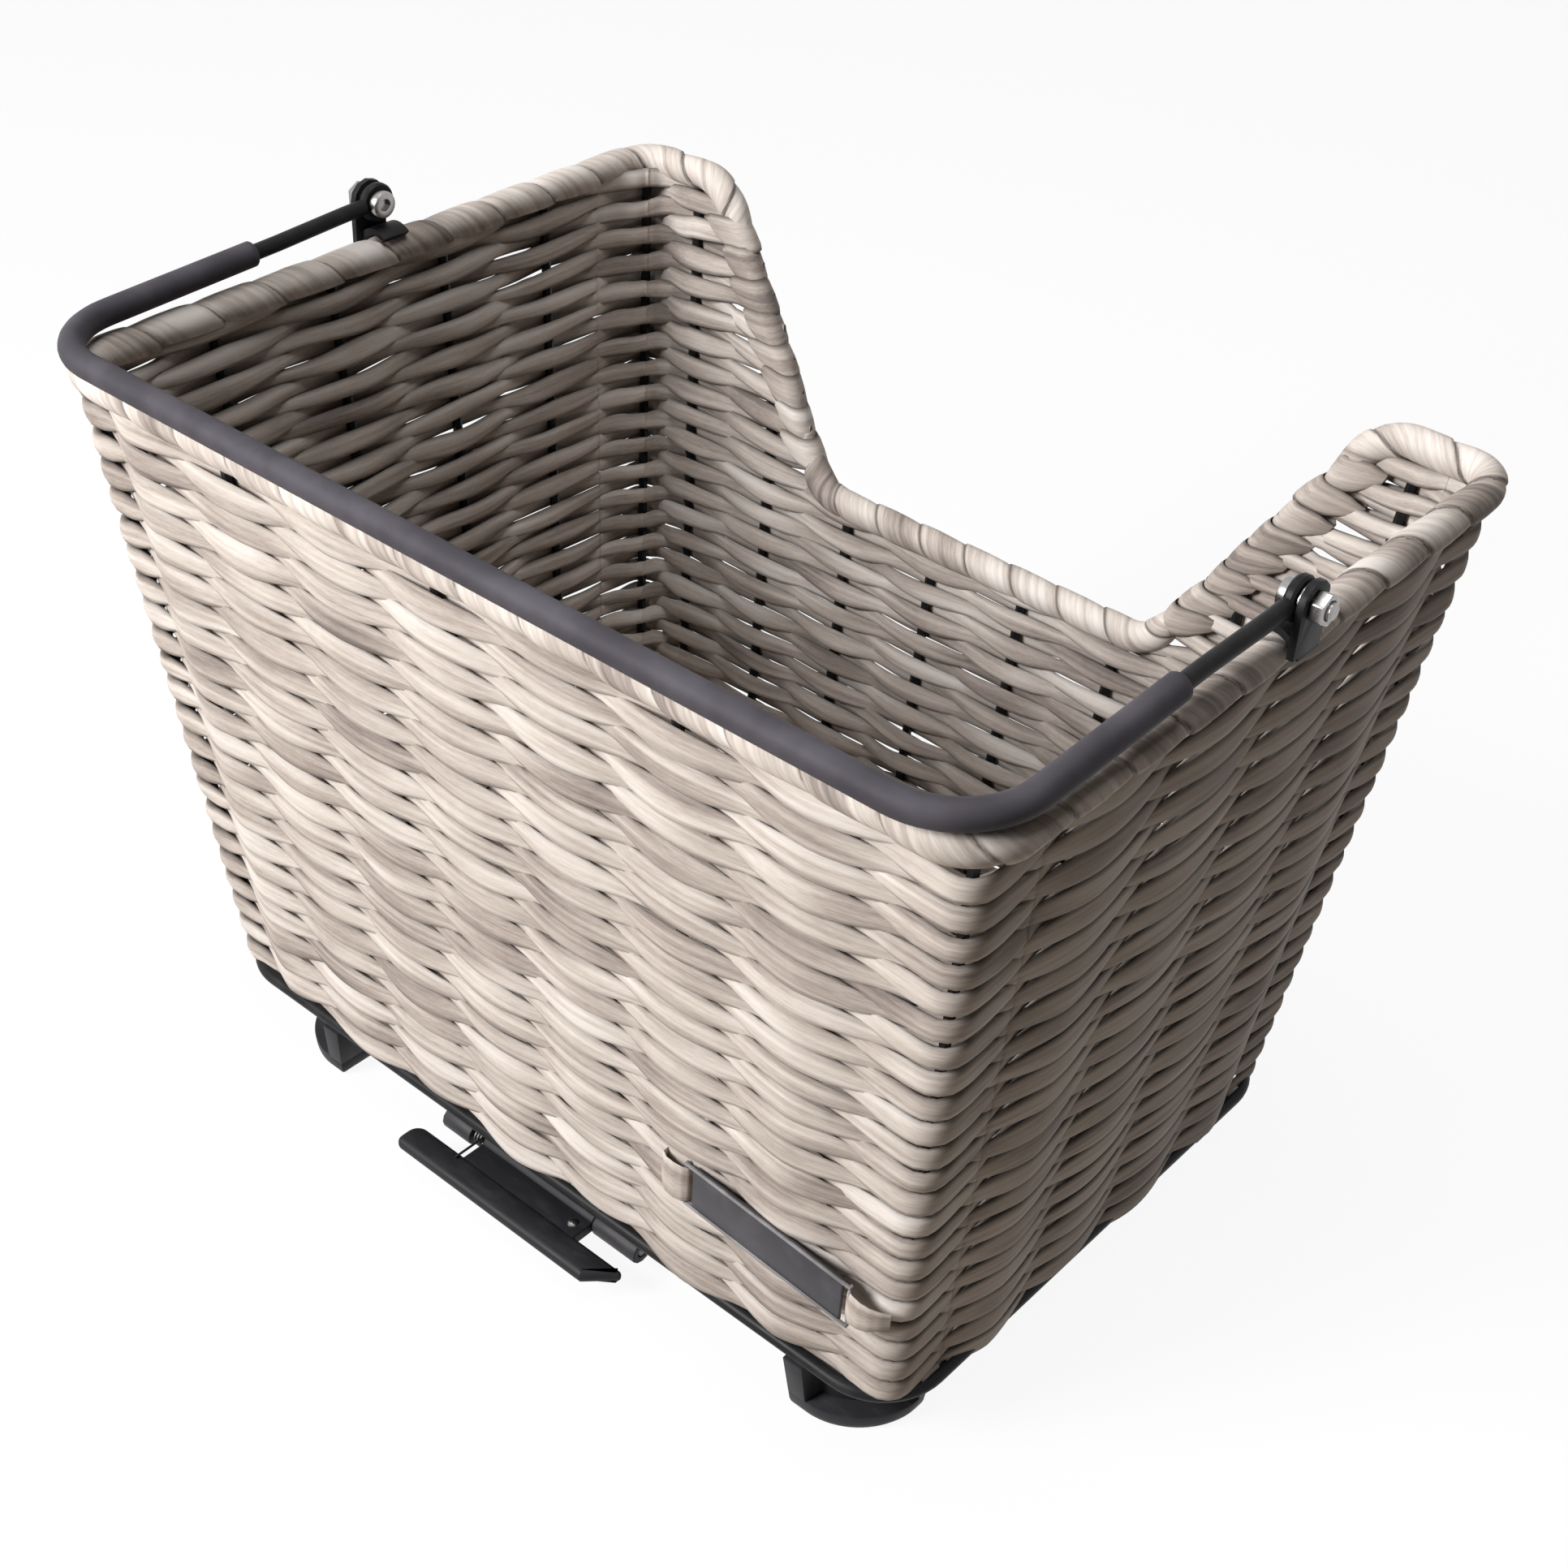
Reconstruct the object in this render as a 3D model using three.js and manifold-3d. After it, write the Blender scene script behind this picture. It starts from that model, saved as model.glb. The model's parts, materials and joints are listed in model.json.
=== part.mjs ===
// Bicycle basket of flat tape woven on a welded wire frame, with a swinging handle,
// four corner feet and a quick-release rack adapter under the floor.
// Millimetres, +X to the right, +Y to the back, +Z up, standing on Z = 0.
import * as THREE from 'three';
import { mergeVertices } from 'three/addons/utils/BufferGeometryUtils.js';
import Module from 'manifold-3d';

const wasm = await Module();
wasm.setup();

// Clearance between pieces that touch
const GAP = 0.3;

// Basket outline, on the wires' centrelines
const RIM_LENGTH = 400;
const RIM_DEPTH = 288;
const RIM_CORNER = 16;
const BASE_LENGTH = 349;
const BASE_DEPTH = 237;
const BASE_CORNER = 25;
const BASE_FORWARD = 6.2;
const WALL_RISE = 262.4;

// Dip in the back rim
const DIP_FLOOR = 164;
const DIP_MOUTH = 310;
const DIP_DROP = 112.6;
const DIP_BEND = 20;

// Wire diameters and spacing
const RIM_WIRE = 6;
const HOOP_WIRE = 5.5;
const STAKE_WIRE = 4;
const FLOOR_WIRE = 3;
const FRONT_PITCH = 51.6;
const SIDE_PITCH = 56;
const BACK_PITCH = 48.5;
const FLOOR_PITCH = 48;
const STAKE_SPACE = 14;
const FRONT_FAN = 0.83;
const FRONT_SHIFT = 5.6;

// Woven work
const WALL = 7.4;
const WALL_WAIST = 2.2;
const RIB_LAND = 6;
const FLOOR = 5.5;
const BINDING = 13.6;

// Handle
const ROD = 6;
const GRIP = 10;
const GRIP_START = 60;
const HANDLE_BEND = 28;
const HANDLE_REACH = 151.5;
const ARM_SPLAY = -0.8;
const SPLAY_START = 16;
const SPLAY_END = 48;
const SPLAY_BEND = 30;
const REST_GAP = 0.3;
const PIVOT_RISE = 18.1;
const EYE = 15;
const EYE_THICK = 3.6;

// Handle lugs and pivot fasteners
const LUG_THICK = 2.5;
const LUG_EYE = 15.5;
const LUG_BASE = 16;
const LUG_LOW = 2;
const SADDLE_LENGTH = 20;
const SADDLE_BACK = 5;
const SADDLE_START = 5;
const SADDLE_SWEEP = 125;
const BOLT = 6;
const BOLT_HEAD = 10.5;
const BOLT_HEAD_HEIGHT = 3.2;
const BOLT_END = 1.4;
const SOCKET = 4.6;
const SOCKET_DEEP = 1.8;
const WASHER = 12;
const WASHER_THICK = 1;
const NUT = 11;
const NUT_THICK = 4.5;

// Feet
const FOOT_HEIGHT = 28;
const FOOT_LIP = 2.9;
const FOOT_INSET = 5.6;
const FOOT_ROUND = 31;
const FOOT_THICK = 20;
const FOOT_ARM = 9;
const FOOT_SHORT_ARM = 5;
const FOOT_TAPER = 0.87;
const FOOT_SILL = 7;
const FOOT_POCKET = 9;
const FRONT_LEFT_SHIFT = 21;
const FOOT_SCREW = 4;
const FOOT_SCREW_HEAD = 8;
const FOOT_SCREW_BITE = 14;
const FOOT_SCREW_IN = 13;
const FOOT_SCREW_SIDE = 2.5;
const SCREW_HEAD_HEIGHT = 2.5;

// Rack adapter
const ADAPTER_WIDTH = 104;
const ADAPTER_LENGTH = 172;
const ADAPTER_PLATE = 5;
const ADAPTER_SETBACK = 15;
const RAIL = 6;
const RAIL_DEEP = 8;
const RAIL_SETBACK = 8;
const STOP_THICK = 4;
const HOOK = 8;
const HOOK_THICK = 3;
const CLAMP_DEPTH = 20;
const CLAMP_THICK = 2.5;
const CLAMP_FRONT = 34;
const CLAMP_SPACING = 110;
const SCREW_REACH = 36;
const ADAPTER_SCREW = 5;
const ADAPTER_SCREW_HEAD = 9;
const ADAPTER_SCREW_BITE = 4;

// Release lever, its pin and its spring
const PIN = 4;
const PIN_SETBACK = 7;
const KNUCKLE = 10;
const KNUCKLE_DROP = 8.25;
const KNUCKLE_ARM = 5;
const KNUCKLE_ROOT = 6;
const BARREL = 9.4;
const NECK = 60;
const NECK_THICK = 4.5;
const SPRING_SPACE = 7;
const LEVER_BAR = 113;
const BAR_DEPTH = 12;
const BAR_THICK = 5.6;
const BAR_REACH = 25.2;
const TAIL = 40;
const TAIL_REACH = 22;
const TAIL_THICK = 3.8;
const NOSE_RISE = 1.6;
const NOSE_THICK = 4.5;
const SPRING_WIRE = 1;
const SPRING_COIL = 6.8;
const SPRING_PITCH = 1.5;
const SPRING_TURNS = 3;
const SPRING_LEG = 4;
const STUD = 2.2;
const STUD_HEAD = 3.4;
const STUD_RISE = 0.9;
const STUD_X = 24.5;
const STUD_FORWARD = 9;

// Badge plate on the front wall
const BADGE_LENGTH = 73;
const BADGE_HEIGHT = 22;
const BADGE_THICK = 1.5;
const BADGE_X = 124.5;
const BADGE_RISE = 56;
const BADGE_TILT = 5;

// Facets
const CORNER_STEPS = 4;
const RIM_SIDES = 8;
const WIRE_SIDES = 6;
const ROD_SIDES = 10;
const ROUND_SIDES = 12;
const SPRING_STEPS = 8;
const SPRING_SIDES = 5;
const HEX_SIDES = 6;

// How far a cutting tool runs past what it cuts, and a joined piece into its neighbour
const PAST = 4;
const LAP = 1;

// Vertices closer than this are one
const WELD = 1e-4;

// Reach of the planes that part the walls, across the wall's thickness
const PARTING = 55;

// Heights and places that follow from the sizes above
const BASE_Z = FOOT_HEIGHT;
const RIM_Z = BASE_Z + WALL_RISE;
const FLOOR_TOP = BASE_Z + FLOOR / 2;
const FLOOR_UNDER = BASE_Z - FLOOR / 2;
const UNDER_BASE = BASE_Z - Math.max(FLOOR, HOOP_WIRE) / 2 - GAP;
const BASE_FRONT = -BASE_FORWARD - BASE_DEPTH / 2;
const BASE_BACK = -BASE_FORWARD + BASE_DEPTH / 2;
const PIVOT_Z = RIM_Z + PIVOT_RISE;
const REST_REACH = (BINDING + GRIP) / 2 + REST_GAP;
const BAR_Z = PIVOT_Z - ((PIVOT_RISE - REST_REACH) * HANDLE_REACH) / (RIM_DEPTH / 2);
const LUG_INNER = RIM_LENGTH / 2 + BINDING / 2 + GAP;
const LUG_OUTER = LUG_INNER + LUG_THICK;
const WASHER_INNER = LUG_INNER - GAP - WASHER_THICK;
const EYE_OUTER = WASHER_INNER - GAP;
const EYE_X = EYE_OUTER - EYE_THICK / 2;
const HEAD_OUTER = EYE_OUTER - EYE_THICK - GAP;
const ARM_X = EYE_X + ARM_SPLAY;
const BOLT_TIP = LUG_OUTER + GAP + NUT_THICK + BOLT_END;
const PIN_Y = BASE_FRONT + PIN_SETBACK;
const PIN_Z = BASE_Z - HOOP_WIRE / 2 - KNUCKLE_DROP - KNUCKLE / 2;
const ADAPTER_FRONT = PIN_Y + ADAPTER_SETBACK;
const ADAPTER_BACK = ADAPTER_FRONT + ADAPTER_LENGTH;
const PLATE_UNDER = UNDER_BASE - ADAPTER_PLATE;
const CLAMP_Y = [ADAPTER_FRONT + CLAMP_FRONT, ADAPTER_FRONT + CLAMP_FRONT + CLAMP_SPACING];
const CLAMP_TOP = FLOOR_TOP + GAP + CLAMP_THICK;
const SCREW_X = [-SCREW_REACH, SCREW_REACH];

const vec = (x, y, z) => new THREE.Vector3(x, y, z);
const mix = THREE.MathUtils.lerp;
const rad = THREE.MathUtils.degToRad;

// A run of points that a tube follows, with one ring of the tube on each point
class Route extends THREE.Curve {
  constructor(points, closed = false) {
    super();
    this.points = points;
    this.closed = closed;
    this.steps = closed ? points.length : points.length - 1;
  }

  at(step) {
    const count = this.points.length;
    const index = this.closed ? (step + count) % count : THREE.MathUtils.clamp(step, 0, count - 1);
    return this.points[index];
  }

  getPoint(share, target = vec(0, 0, 0)) {
    return target.copy(this.at(Math.round(share * this.steps)));
  }

  getPointAt(share, target) {
    return this.getPoint(share, target);
  }

  getTangentAt(share, target = vec(0, 0, 0)) {
    const step = Math.round(share * this.steps);
    const here = this.at(step);
    const after = this.at(step + 1).clone().sub(here).normalize();
    const before = here.clone().sub(this.at(step - 1)).normalize();
    return target.copy(after).add(before).normalize();
  }
}

// Points along straight runs with a round bend at each corner {p, r}
function rounded(corners, closed = false) {
  const points = [];
  corners.forEach((corner, i) => {
    const isEnd = !closed && (i === 0 || i === corners.length - 1);
    if (isEnd) {
      points.push(corner.p);
      return;
    }
    const before = corners[(i + corners.length - 1) % corners.length].p.clone().sub(corner.p).normalize();
    const after = corners[(i + 1) % corners.length].p.clone().sub(corner.p).normalize();
    const half = before.angleTo(after) / 2;
    const inward = before.clone().add(after).normalize();
    const centre = corner.p.clone().addScaledVector(inward, corner.r / Math.sin(half));
    const first = before.multiplyScalar(corner.r / Math.tan(half)).add(corner.p).sub(centre);
    const last = after.multiplyScalar(corner.r / Math.tan(half)).add(corner.p).sub(centre);
    const turn = first.angleTo(last);
    for (let k = 0; k <= CORNER_STEPS; k += 1) {
      const a = Math.sin(turn * (1 - k / CORNER_STEPS)) / Math.sin(turn);
      const b = Math.sin(turn * (k / CORNER_STEPS)) / Math.sin(turn);
      points.push(centre.clone().addScaledVector(first, a).addScaledVector(last, b));
    }
  });
  return points;
}

// Polygon that stands for a circle in a section
function disc(diameter, sides) {
  const points = [];
  for (let k = 0; k < sides; k += 1) {
    const angle = ((k + 0.5) * 2 * Math.PI) / sides;
    points.push(new THREE.Vector2(Math.cos(angle), Math.sin(angle)).multiplyScalar(diameter / 2));
  }
  return points;
}

// Tube with closed ends along a run of points, hollow if a bore is given
function tube(points, diameter, sides, bore = 0) {
  const shape = new THREE.Shape(disc(diameter, sides));
  if (bore > 0) {
    shape.holes.push(new THREE.Path(disc(bore, sides)));
  }
  const route = new Route(points);
  return new THREE.ExtrudeGeometry(shape, { extrudePath: route, steps: route.steps, bevelEnabled: false });
}

// Tube that closes on itself
function loop(points, diameter, sides) {
  const route = new Route(points, true);
  return new THREE.TubeGeometry(route, route.steps, diameter / 2, sides, true);
}

// Solid between two rings of as many points, each ring flat and counter-clockwise from above
function loft(low, high) {
  const count = low.length;
  const position = [...low, ...high].flatMap((p) => [p.x, p.y, p.z]);
  const index = [];
  for (let k = 0; k < count; k += 1) {
    const next = (k + 1) % count;
    index.push(k, next, count + next, k, count + next, count + k);
  }
  for (let k = 1; k < count - 1; k += 1) {
    index.push(0, k + 1, k, count, count + k, count + k + 1);
  }
  const geometry = new THREE.BufferGeometry();
  geometry.setAttribute('position', new THREE.Float32BufferAttribute(position, 3));
  geometry.setIndex(index);
  return geometry;
}

// Flat outline raised from one height to another
function raised(outline, from, to) {
  const shape = new THREE.Shape(outline);
  const geometry = new THREE.ExtrudeGeometry(shape, { depth: to - from, bevelEnabled: false });
  return geometry.translate(0, 0, from);
}

// Span along X on one side of the middle
const spanX = (side, a, b) => [Math.min(side * a, side * b), Math.max(side * a, side * b)];

function block(x, y, z) {
  const geometry = new THREE.BoxGeometry(x[1] - x[0], y[1] - y[0], z[1] - z[0]);
  return geometry.translate((x[0] + x[1]) / 2, (y[0] + y[1]) / 2, (z[0] + z[1]) / 2);
}

// Cylinder or hexagon along X, through a point, between two places
function barrel(diameter, x, y, z, sides = ROUND_SIDES) {
  const geometry = new THREE.CylinderGeometry(diameter / 2, diameter / 2, x[1] - x[0], sides);
  return geometry.rotateZ(Math.PI / 2).translate((x[0] + x[1]) / 2, y, z);
}

// Cylinder along Z
function post(diameter, x, y, z, sides = ROUND_SIDES) {
  const geometry = new THREE.CylinderGeometry(diameter / 2, diameter / 2, z[1] - z[0], sides);
  return geometry.rotateX(Math.PI / 2).translate(x, y, (z[0] + z[1]) / 2);
}

// Joins and cuts
function solid(geometry) {
  const bare = geometry.clone();
  bare.deleteAttribute('normal');
  bare.deleteAttribute('uv');
  const merged = mergeVertices(bare, WELD);
  const vertProperties = new Float32Array(merged.attributes.position.array);
  const triVerts = new Uint32Array(merged.index.array);
  return new wasm.Manifold(new wasm.Mesh({ numProp: 3, vertProperties, triVerts }));
}

const join = (first, ...rest) => rest.reduce((sum, next) => sum.add(solid(next)), solid(first));
const cut = (body, ...tools) => tools.reduce((left, tool) => left.subtract(solid(tool)), body);

function geometryOf(body) {
  const mesh = body.getMesh();
  const geometry = new THREE.BufferGeometry();
  geometry.setAttribute('position', new THREE.BufferAttribute(new Float32Array(mesh.vertProperties), 3));
  geometry.setIndex(new THREE.BufferAttribute(new Uint32Array(mesh.triVerts), 1));
  geometry.computeVertexNormals();
  return geometry;
}

// Finishes
const FINISH = {
  wire: { color: 0x1c1c1e, roughness: 0.45, metalness: 0.6 },
  tape: { color: 0xc9bcae, roughness: 0.6, metalness: 0 },
  foam: { color: 0x4a494d, roughness: 0.75, metalness: 0 },
  steel: { color: 0xb9babd, roughness: 0.3, metalness: 1 },
  black: { color: 0x1b1b1d, roughness: 0.5, metalness: 0 },
  grey: { color: 0x39383c, roughness: 0.6, metalness: 0 },
  badge: { color: 0x6f6b73, roughness: 0.4, metalness: 0.2 },
};

const basket = new THREE.Group();

function place(name, shape, finish, parent = basket) {
  const geometry = shape.isBufferGeometry ? shape : geometryOf(shape);
  const mesh = new THREE.Mesh(geometry, new THREE.MeshStandardMaterial(FINISH[finish]));
  mesh.name = name;
  parent.add(mesh);
  return mesh;
}

// Level section of the wall, rise 0 at the base hoop and 1 at the rim
function section(rise, offset = 0) {
  const x = mix(BASE_LENGTH, RIM_LENGTH, rise) / 2 + offset;
  const y = mix(BASE_DEPTH, RIM_DEPTH, rise) / 2 + offset;
  const middle = mix(-BASE_FORWARD, 0, rise);
  const z = mix(BASE_Z, RIM_Z, rise);
  const r = mix(BASE_CORNER, RIM_CORNER, rise) + offset;
  const corner = (sx, sy) => ({ p: vec(sx * x, middle + sy * y, z), r });
  return [corner(-1, -1), corner(1, -1), corner(1, 1), corner(-1, 1)];
}

const ring = (rise, offset = 0) => rounded(section(rise, offset), true);

// Middle of a rounded corner at a height, where the corner stake stands
function cornerAt(rise, index) {
  const { p, r } = section(rise)[index];
  const inset = r * (1 - Math.SQRT1_2);
  return vec(p.x - Math.sign(p.x) * inset, p.y - Math.sign(p.y) * inset, p.z);
}

// Rim, with its dip on the sloping back wall
const DIP_RISE = 1 - DIP_DROP / WALL_RISE;
const DIP_Y = mix(BASE_BACK, RIM_DEPTH / 2, DIP_RISE);
const DIP_Z = RIM_Z - DIP_DROP;

function rimCorners() {
  const [frontLeft, frontRight, backRight, backLeft] = section(1);
  const bend = (x, y, z) => ({ p: vec(x, y, z), r: DIP_BEND });
  return [
    frontLeft,
    frontRight,
    backRight,
    bend(DIP_MOUTH / 2, RIM_DEPTH / 2, RIM_Z),
    bend(DIP_FLOOR / 2, DIP_Y, DIP_Z),
    bend(-DIP_FLOOR / 2, DIP_Y, DIP_Z),
    bend(-DIP_MOUTH / 2, RIM_DEPTH / 2, RIM_Z),
    backLeft,
  ];
}

const RIM_POINTS = rounded(rimCorners(), true);
const HOOP_POINTS = ring(0);
const BEND_POINTS = CORNER_STEPS + 1;
const DIP_FIRST = 3 * BEND_POINTS;
const DIP_POINTS = RIM_POINTS.slice(DIP_FIRST, DIP_FIRST + 4 * BEND_POINTS);

// Stakes, each a straight run from the base hoop to the rim
function stakeLines() {
  const lines = [];
  const cornerInset = RIM_LENGTH / 2 - cornerAt(1, 1).x;
  const reachX = RIM_LENGTH / 2 - cornerInset;
  const reachY = RIM_DEPTH / 2 - cornerInset;
  const scaleX = BASE_LENGTH / RIM_LENGTH;
  const scaleY = BASE_DEPTH / RIM_DEPTH;

  const frontCount = Math.floor((2 * reachX - STAKE_SPACE) / FRONT_PITCH);
  for (let k = 1; k <= frontCount; k += 1) {
    const x = reachX - k * FRONT_PITCH;
    lines.push([vec(x * FRONT_FAN + FRONT_SHIFT, BASE_FRONT, BASE_Z), vec(x, -RIM_DEPTH / 2, RIM_Z)]);
  }

  const sideSpans = Math.round((2 * reachY) / SIDE_PITCH);
  for (let k = 1; k < sideSpans; k += 1) {
    const y = mix(-reachY, reachY, k / sideSpans);
    for (const side of [-1, 1]) {
      const foot = vec((side * BASE_LENGTH) / 2, y * scaleY - BASE_FORWARD, BASE_Z);
      lines.push([foot, vec((side * RIM_LENGTH) / 2, y, RIM_Z)]);
    }
  }

  const backPairs = Math.floor((reachX - STAKE_SPACE) / BACK_PITCH + 0.5);
  for (let k = 0; k < backPairs; k += 1) {
    for (const side of [-1, 1]) {
      const x = side * (k + 0.5) * BACK_PITCH;
      const foot = vec(x * scaleX, BASE_BACK, BASE_Z);
      lines.push([foot, underDip(foot, vec(x, RIM_DEPTH / 2, RIM_Z))]);
    }
  }

  section(1).forEach((corner, k) => lines.push([cornerAt(0, k), cornerAt(1, k)]));
  return lines;
}

// Top of a back stake, where it meets the rim
function underDip(foot, top) {
  const along = (z) => foot.clone().lerp(top, (z - BASE_Z) / WALL_RISE);
  for (let k = 0; k < DIP_POINTS.length - 1; k += 1) {
    const first = DIP_POINTS[k];
    const second = DIP_POINTS[k + 1];
    const before = first.x - along(first.z).x;
    const after = second.x - along(second.z).x;
    if (before * after <= 0) {
      return along(mix(first.z, second.z, before / (before - after)));
    }
  }
  return top;
}

const STAKES = stakeLines();
const STAKE_START = (HOOP_WIRE / 2 + GAP) / WALL_RISE;

function stake([foot, top], diameter, start) {
  const rise = top.z - foot.z;
  const low = foot.clone().lerp(top, (start * WALL_RISE) / rise);
  return tube([low, top], diameter, WIRE_SIDES);
}

const stakes = STAKES.map((line) => stake(line, STAKE_WIRE, STAKE_START));
const stakeBores = STAKES.map((line) => stake(line, STAKE_WIRE + 2 * GAP, -STAKE_START));

place('stake_frame', join(loop(RIM_POINTS, RIM_WIRE, WIRE_SIDES), ...stakes), 'wire');

// Rim binding, open where the stakes pass
const rimBore = loop(RIM_POINTS, RIM_WIRE + 2 * GAP, WIRE_SIDES);
place('rim_binding', cut(solid(loop(RIM_POINTS, BINDING, RIM_SIDES)), rimBore, ...stakeBores), 'tape');

// Woven walls, one for each side, parted at the corner stakes
const sideCorners = { front: [0, 1], right: [1, 2], back: [2, 3], left: [3, 0] };

// Lines at which the tape stands out from one side's wall: its two corners and its stakes
function ribLines(from, to) {
  const along = section(1)[to].p.clone().sub(section(1)[from].p).normalize();
  const out = vec(along.y, -along.x, 0);
  const reach = section(1)[from].p.dot(out);
  const bendEnd = (index, way) => (rise) => {
    const { p, r } = section(rise)[index];
    return p.clone().addScaledVector(along, way * r);
  };
  const isUnderDip = (top) => out.y > 0 && top.z < RIM_Z - STAKE_WIRE;
  const onWall = ([, top]) => Math.abs(top.dot(out) - reach) < STAKE_WIRE || isUnderDip(top);
  const own = STAKES.slice(0, -section(1).length).filter(onWall);
  own.sort((a, b) => a[0].dot(along) - b[0].dot(along));
  const stakeLine = ([foot, top]) => (rise) => foot.clone().lerp(top, (rise * WALL_RISE) / (top.z - foot.z));
  return { along, out, lines: [bendEnd(from, 1), ...own.map(stakeLine), bendEnd(to, -1)] };
}

// Shallow V between two ribs, on one face of the wall, where the tape crosses to the other face
function flute(first, second, along, out, face) {
  const past = PAST / WALL_RISE;
  const level = (rise) => {
    const a = first(rise).addScaledVector(along, RIB_LAND / 2);
    const b = second(rise).addScaledVector(along, -RIB_LAND / 2);
    const middle = a.clone().lerp(b, 1 / 2);
    const further = (2 * LAP) / (WALL - WALL_WAIST);
    a.lerp(middle, -further);
    b.lerp(middle, -further);
    const off = (p, offset) => p.clone().addScaledVector(out, face * offset);
    const points = [
      off(a, WALL / 2 + LAP),
      off(middle, WALL_WAIST / 2),
      off(b, WALL / 2 + LAP),
      off(b, WALL / 2 + PAST),
      off(a, WALL / 2 + PAST),
    ];
    return face > 0 ? points.reverse() : points;
  };
  return loft(level(STAKE_START - past), level(1 + past));
}

function flutes() {
  const cuts = [];
  for (const [from, to] of Object.values(sideCorners)) {
    const { along, out, lines } = ribLines(from, to);
    for (let k = 0; k < lines.length - 1; k += 1) {
      const [first, second] = [lines[k], lines[k + 1]];
      const apart = [0, 1].map((rise) => second(rise).sub(first(rise)).dot(along));
      if (Math.min(...apart) > STAKE_SPACE) {
        cuts.push(flute(first, second, along, out, 1), flute(first, second, along, out, -1));
      }
    }
  }
  return cuts;
}

function wallShell() {
  const outer = loft(ring(STAKE_START, WALL / 2), ring(1, WALL / 2));
  const past = PAST / WALL_RISE;
  const inner = loft(ring(STAKE_START - past, -WALL / 2), ring(1 + past, -WALL / 2));
  const outline = DIP_POINTS.map((p) => new THREE.Vector2(p.x, p.z));
  const [first] = outline;
  const last = outline[outline.length - 1];
  outline.push(new THREE.Vector2(last.x, RIM_Z + PAST), new THREE.Vector2(first.x, RIM_Z + PAST));
  const dip = new THREE.ExtrudeGeometry(new THREE.Shape(outline), { depth: RIM_DEPTH, bevelEnabled: false });
  dip.rotateX(Math.PI / 2).translate(0, RIM_DEPTH, 0);
  const rimSeat = loop(RIM_POINTS, BINDING + 2 * GAP, RIM_SIDES);
  return cut(solid(outer), inner, dip, rimSeat, ...flutes(), ...stakeBores);
}

// Space of one side between the slanting planes through its two corner stakes
function sideWedge(from, to) {
  const past = PAST / WALL_RISE;
  const edge = (rise) => {
    const first = cornerAt(rise, from);
    const second = cornerAt(rise, to);
    const along = second.clone().sub(first).normalize().multiplyScalar(GAP * Math.SQRT1_2);
    const out = (p) => vec(Math.sign(p.x) * PARTING, Math.sign(p.y) * PARTING, 0);
    first.add(along);
    second.sub(along);
    return [
      first.clone().add(out(first)),
      second.clone().add(out(second)),
      second.clone().sub(out(second)),
      first.clone().sub(out(first)),
    ];
  };
  return loft(edge(-past), edge(1 + past));
}

const shell = wallShell();
for (const [side, [from, to]] of Object.entries(sideCorners)) {
  place(`weave_${side}`, shell.intersect(solid(sideWedge(from, to))), 'tape');
}

// Base hoop with the floor wires welded across it
const floorPairs = Math.floor((BASE_LENGTH / 2 - BASE_CORNER) / FLOOR_PITCH + 0.5);
const floorX = [];
for (let k = 0; k < floorPairs; k += 1) {
  floorX.push((k + 0.5) * FLOOR_PITCH, -(k + 0.5) * FLOOR_PITCH);
}
const floorWire = (x, diameter, past) =>
  tube([vec(x, BASE_FRONT - past, BASE_Z), vec(x, BASE_BACK + past, BASE_Z)], diameter, WIRE_SIDES);
const floorWires = floorX.map((x) => floorWire(x, FLOOR_WIRE, 0));
place('base_grid', join(loop(HOOP_POINTS, HOOP_WIRE, RIM_SIDES), ...floorWires), 'wire');

// Feet, each under one corner of the hoop, given from the centre of the foot's round
function footOutline() {
  const shape = new THREE.Shape();
  shape.moveTo(-FOOT_ARM, -FOOT_ROUND);
  shape.lineTo(0, -FOOT_ROUND);
  shape.absarc(0, 0, FOOT_ROUND, -Math.PI / 2, 0, false);
  shape.lineTo(FOOT_ROUND, FOOT_SHORT_ARM);
  shape.lineTo(FOOT_ROUND - FOOT_THICK, FOOT_SHORT_ARM);
  shape.lineTo(-FOOT_ARM, -FOOT_ROUND + FOOT_THICK);
  return shape.getPoints(CORNER_STEPS);
}

function pocketOutline() {
  const reach = FOOT_ROUND + PAST;
  const shape = new THREE.Shape();
  shape.moveTo(0, -reach);
  shape.lineTo(reach, -reach);
  shape.lineTo(reach, 0);
  shape.absarc(0, 0, FOOT_ROUND - FOOT_POCKET, 0, -Math.PI / 2, true);
  return shape.getPoints(CORNER_STEPS);
}

const FEET = {
  front_left: { sx: -1, sy: 1, shift: FRONT_LEFT_SHIFT },
  front_right: { sx: 1, sy: 1, shift: 0 },
  back_left: { sx: -1, sy: -1, shift: 0 },
  back_right: { sx: 1, sy: -1, shift: 0 },
};

// Place of a point of a foot's outline, drawn for the corner towards +X and -Y
function atCorner({ sx, sy, shift }, x, y) {
  const centreX = BASE_LENGTH / 2 - FOOT_INSET - FOOT_ROUND - shift;
  const centreY = BASE_DEPTH / 2 + FOOT_LIP - FOOT_ROUND;
  return new THREE.Vector2(sx * (centreX + x), sy * (y - centreY) - BASE_FORWARD);
}

const footScrewAt = (foot) => atCorner(foot, -FOOT_SCREW_SIDE, -FOOT_ROUND + FOOT_SCREW_IN);

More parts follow.
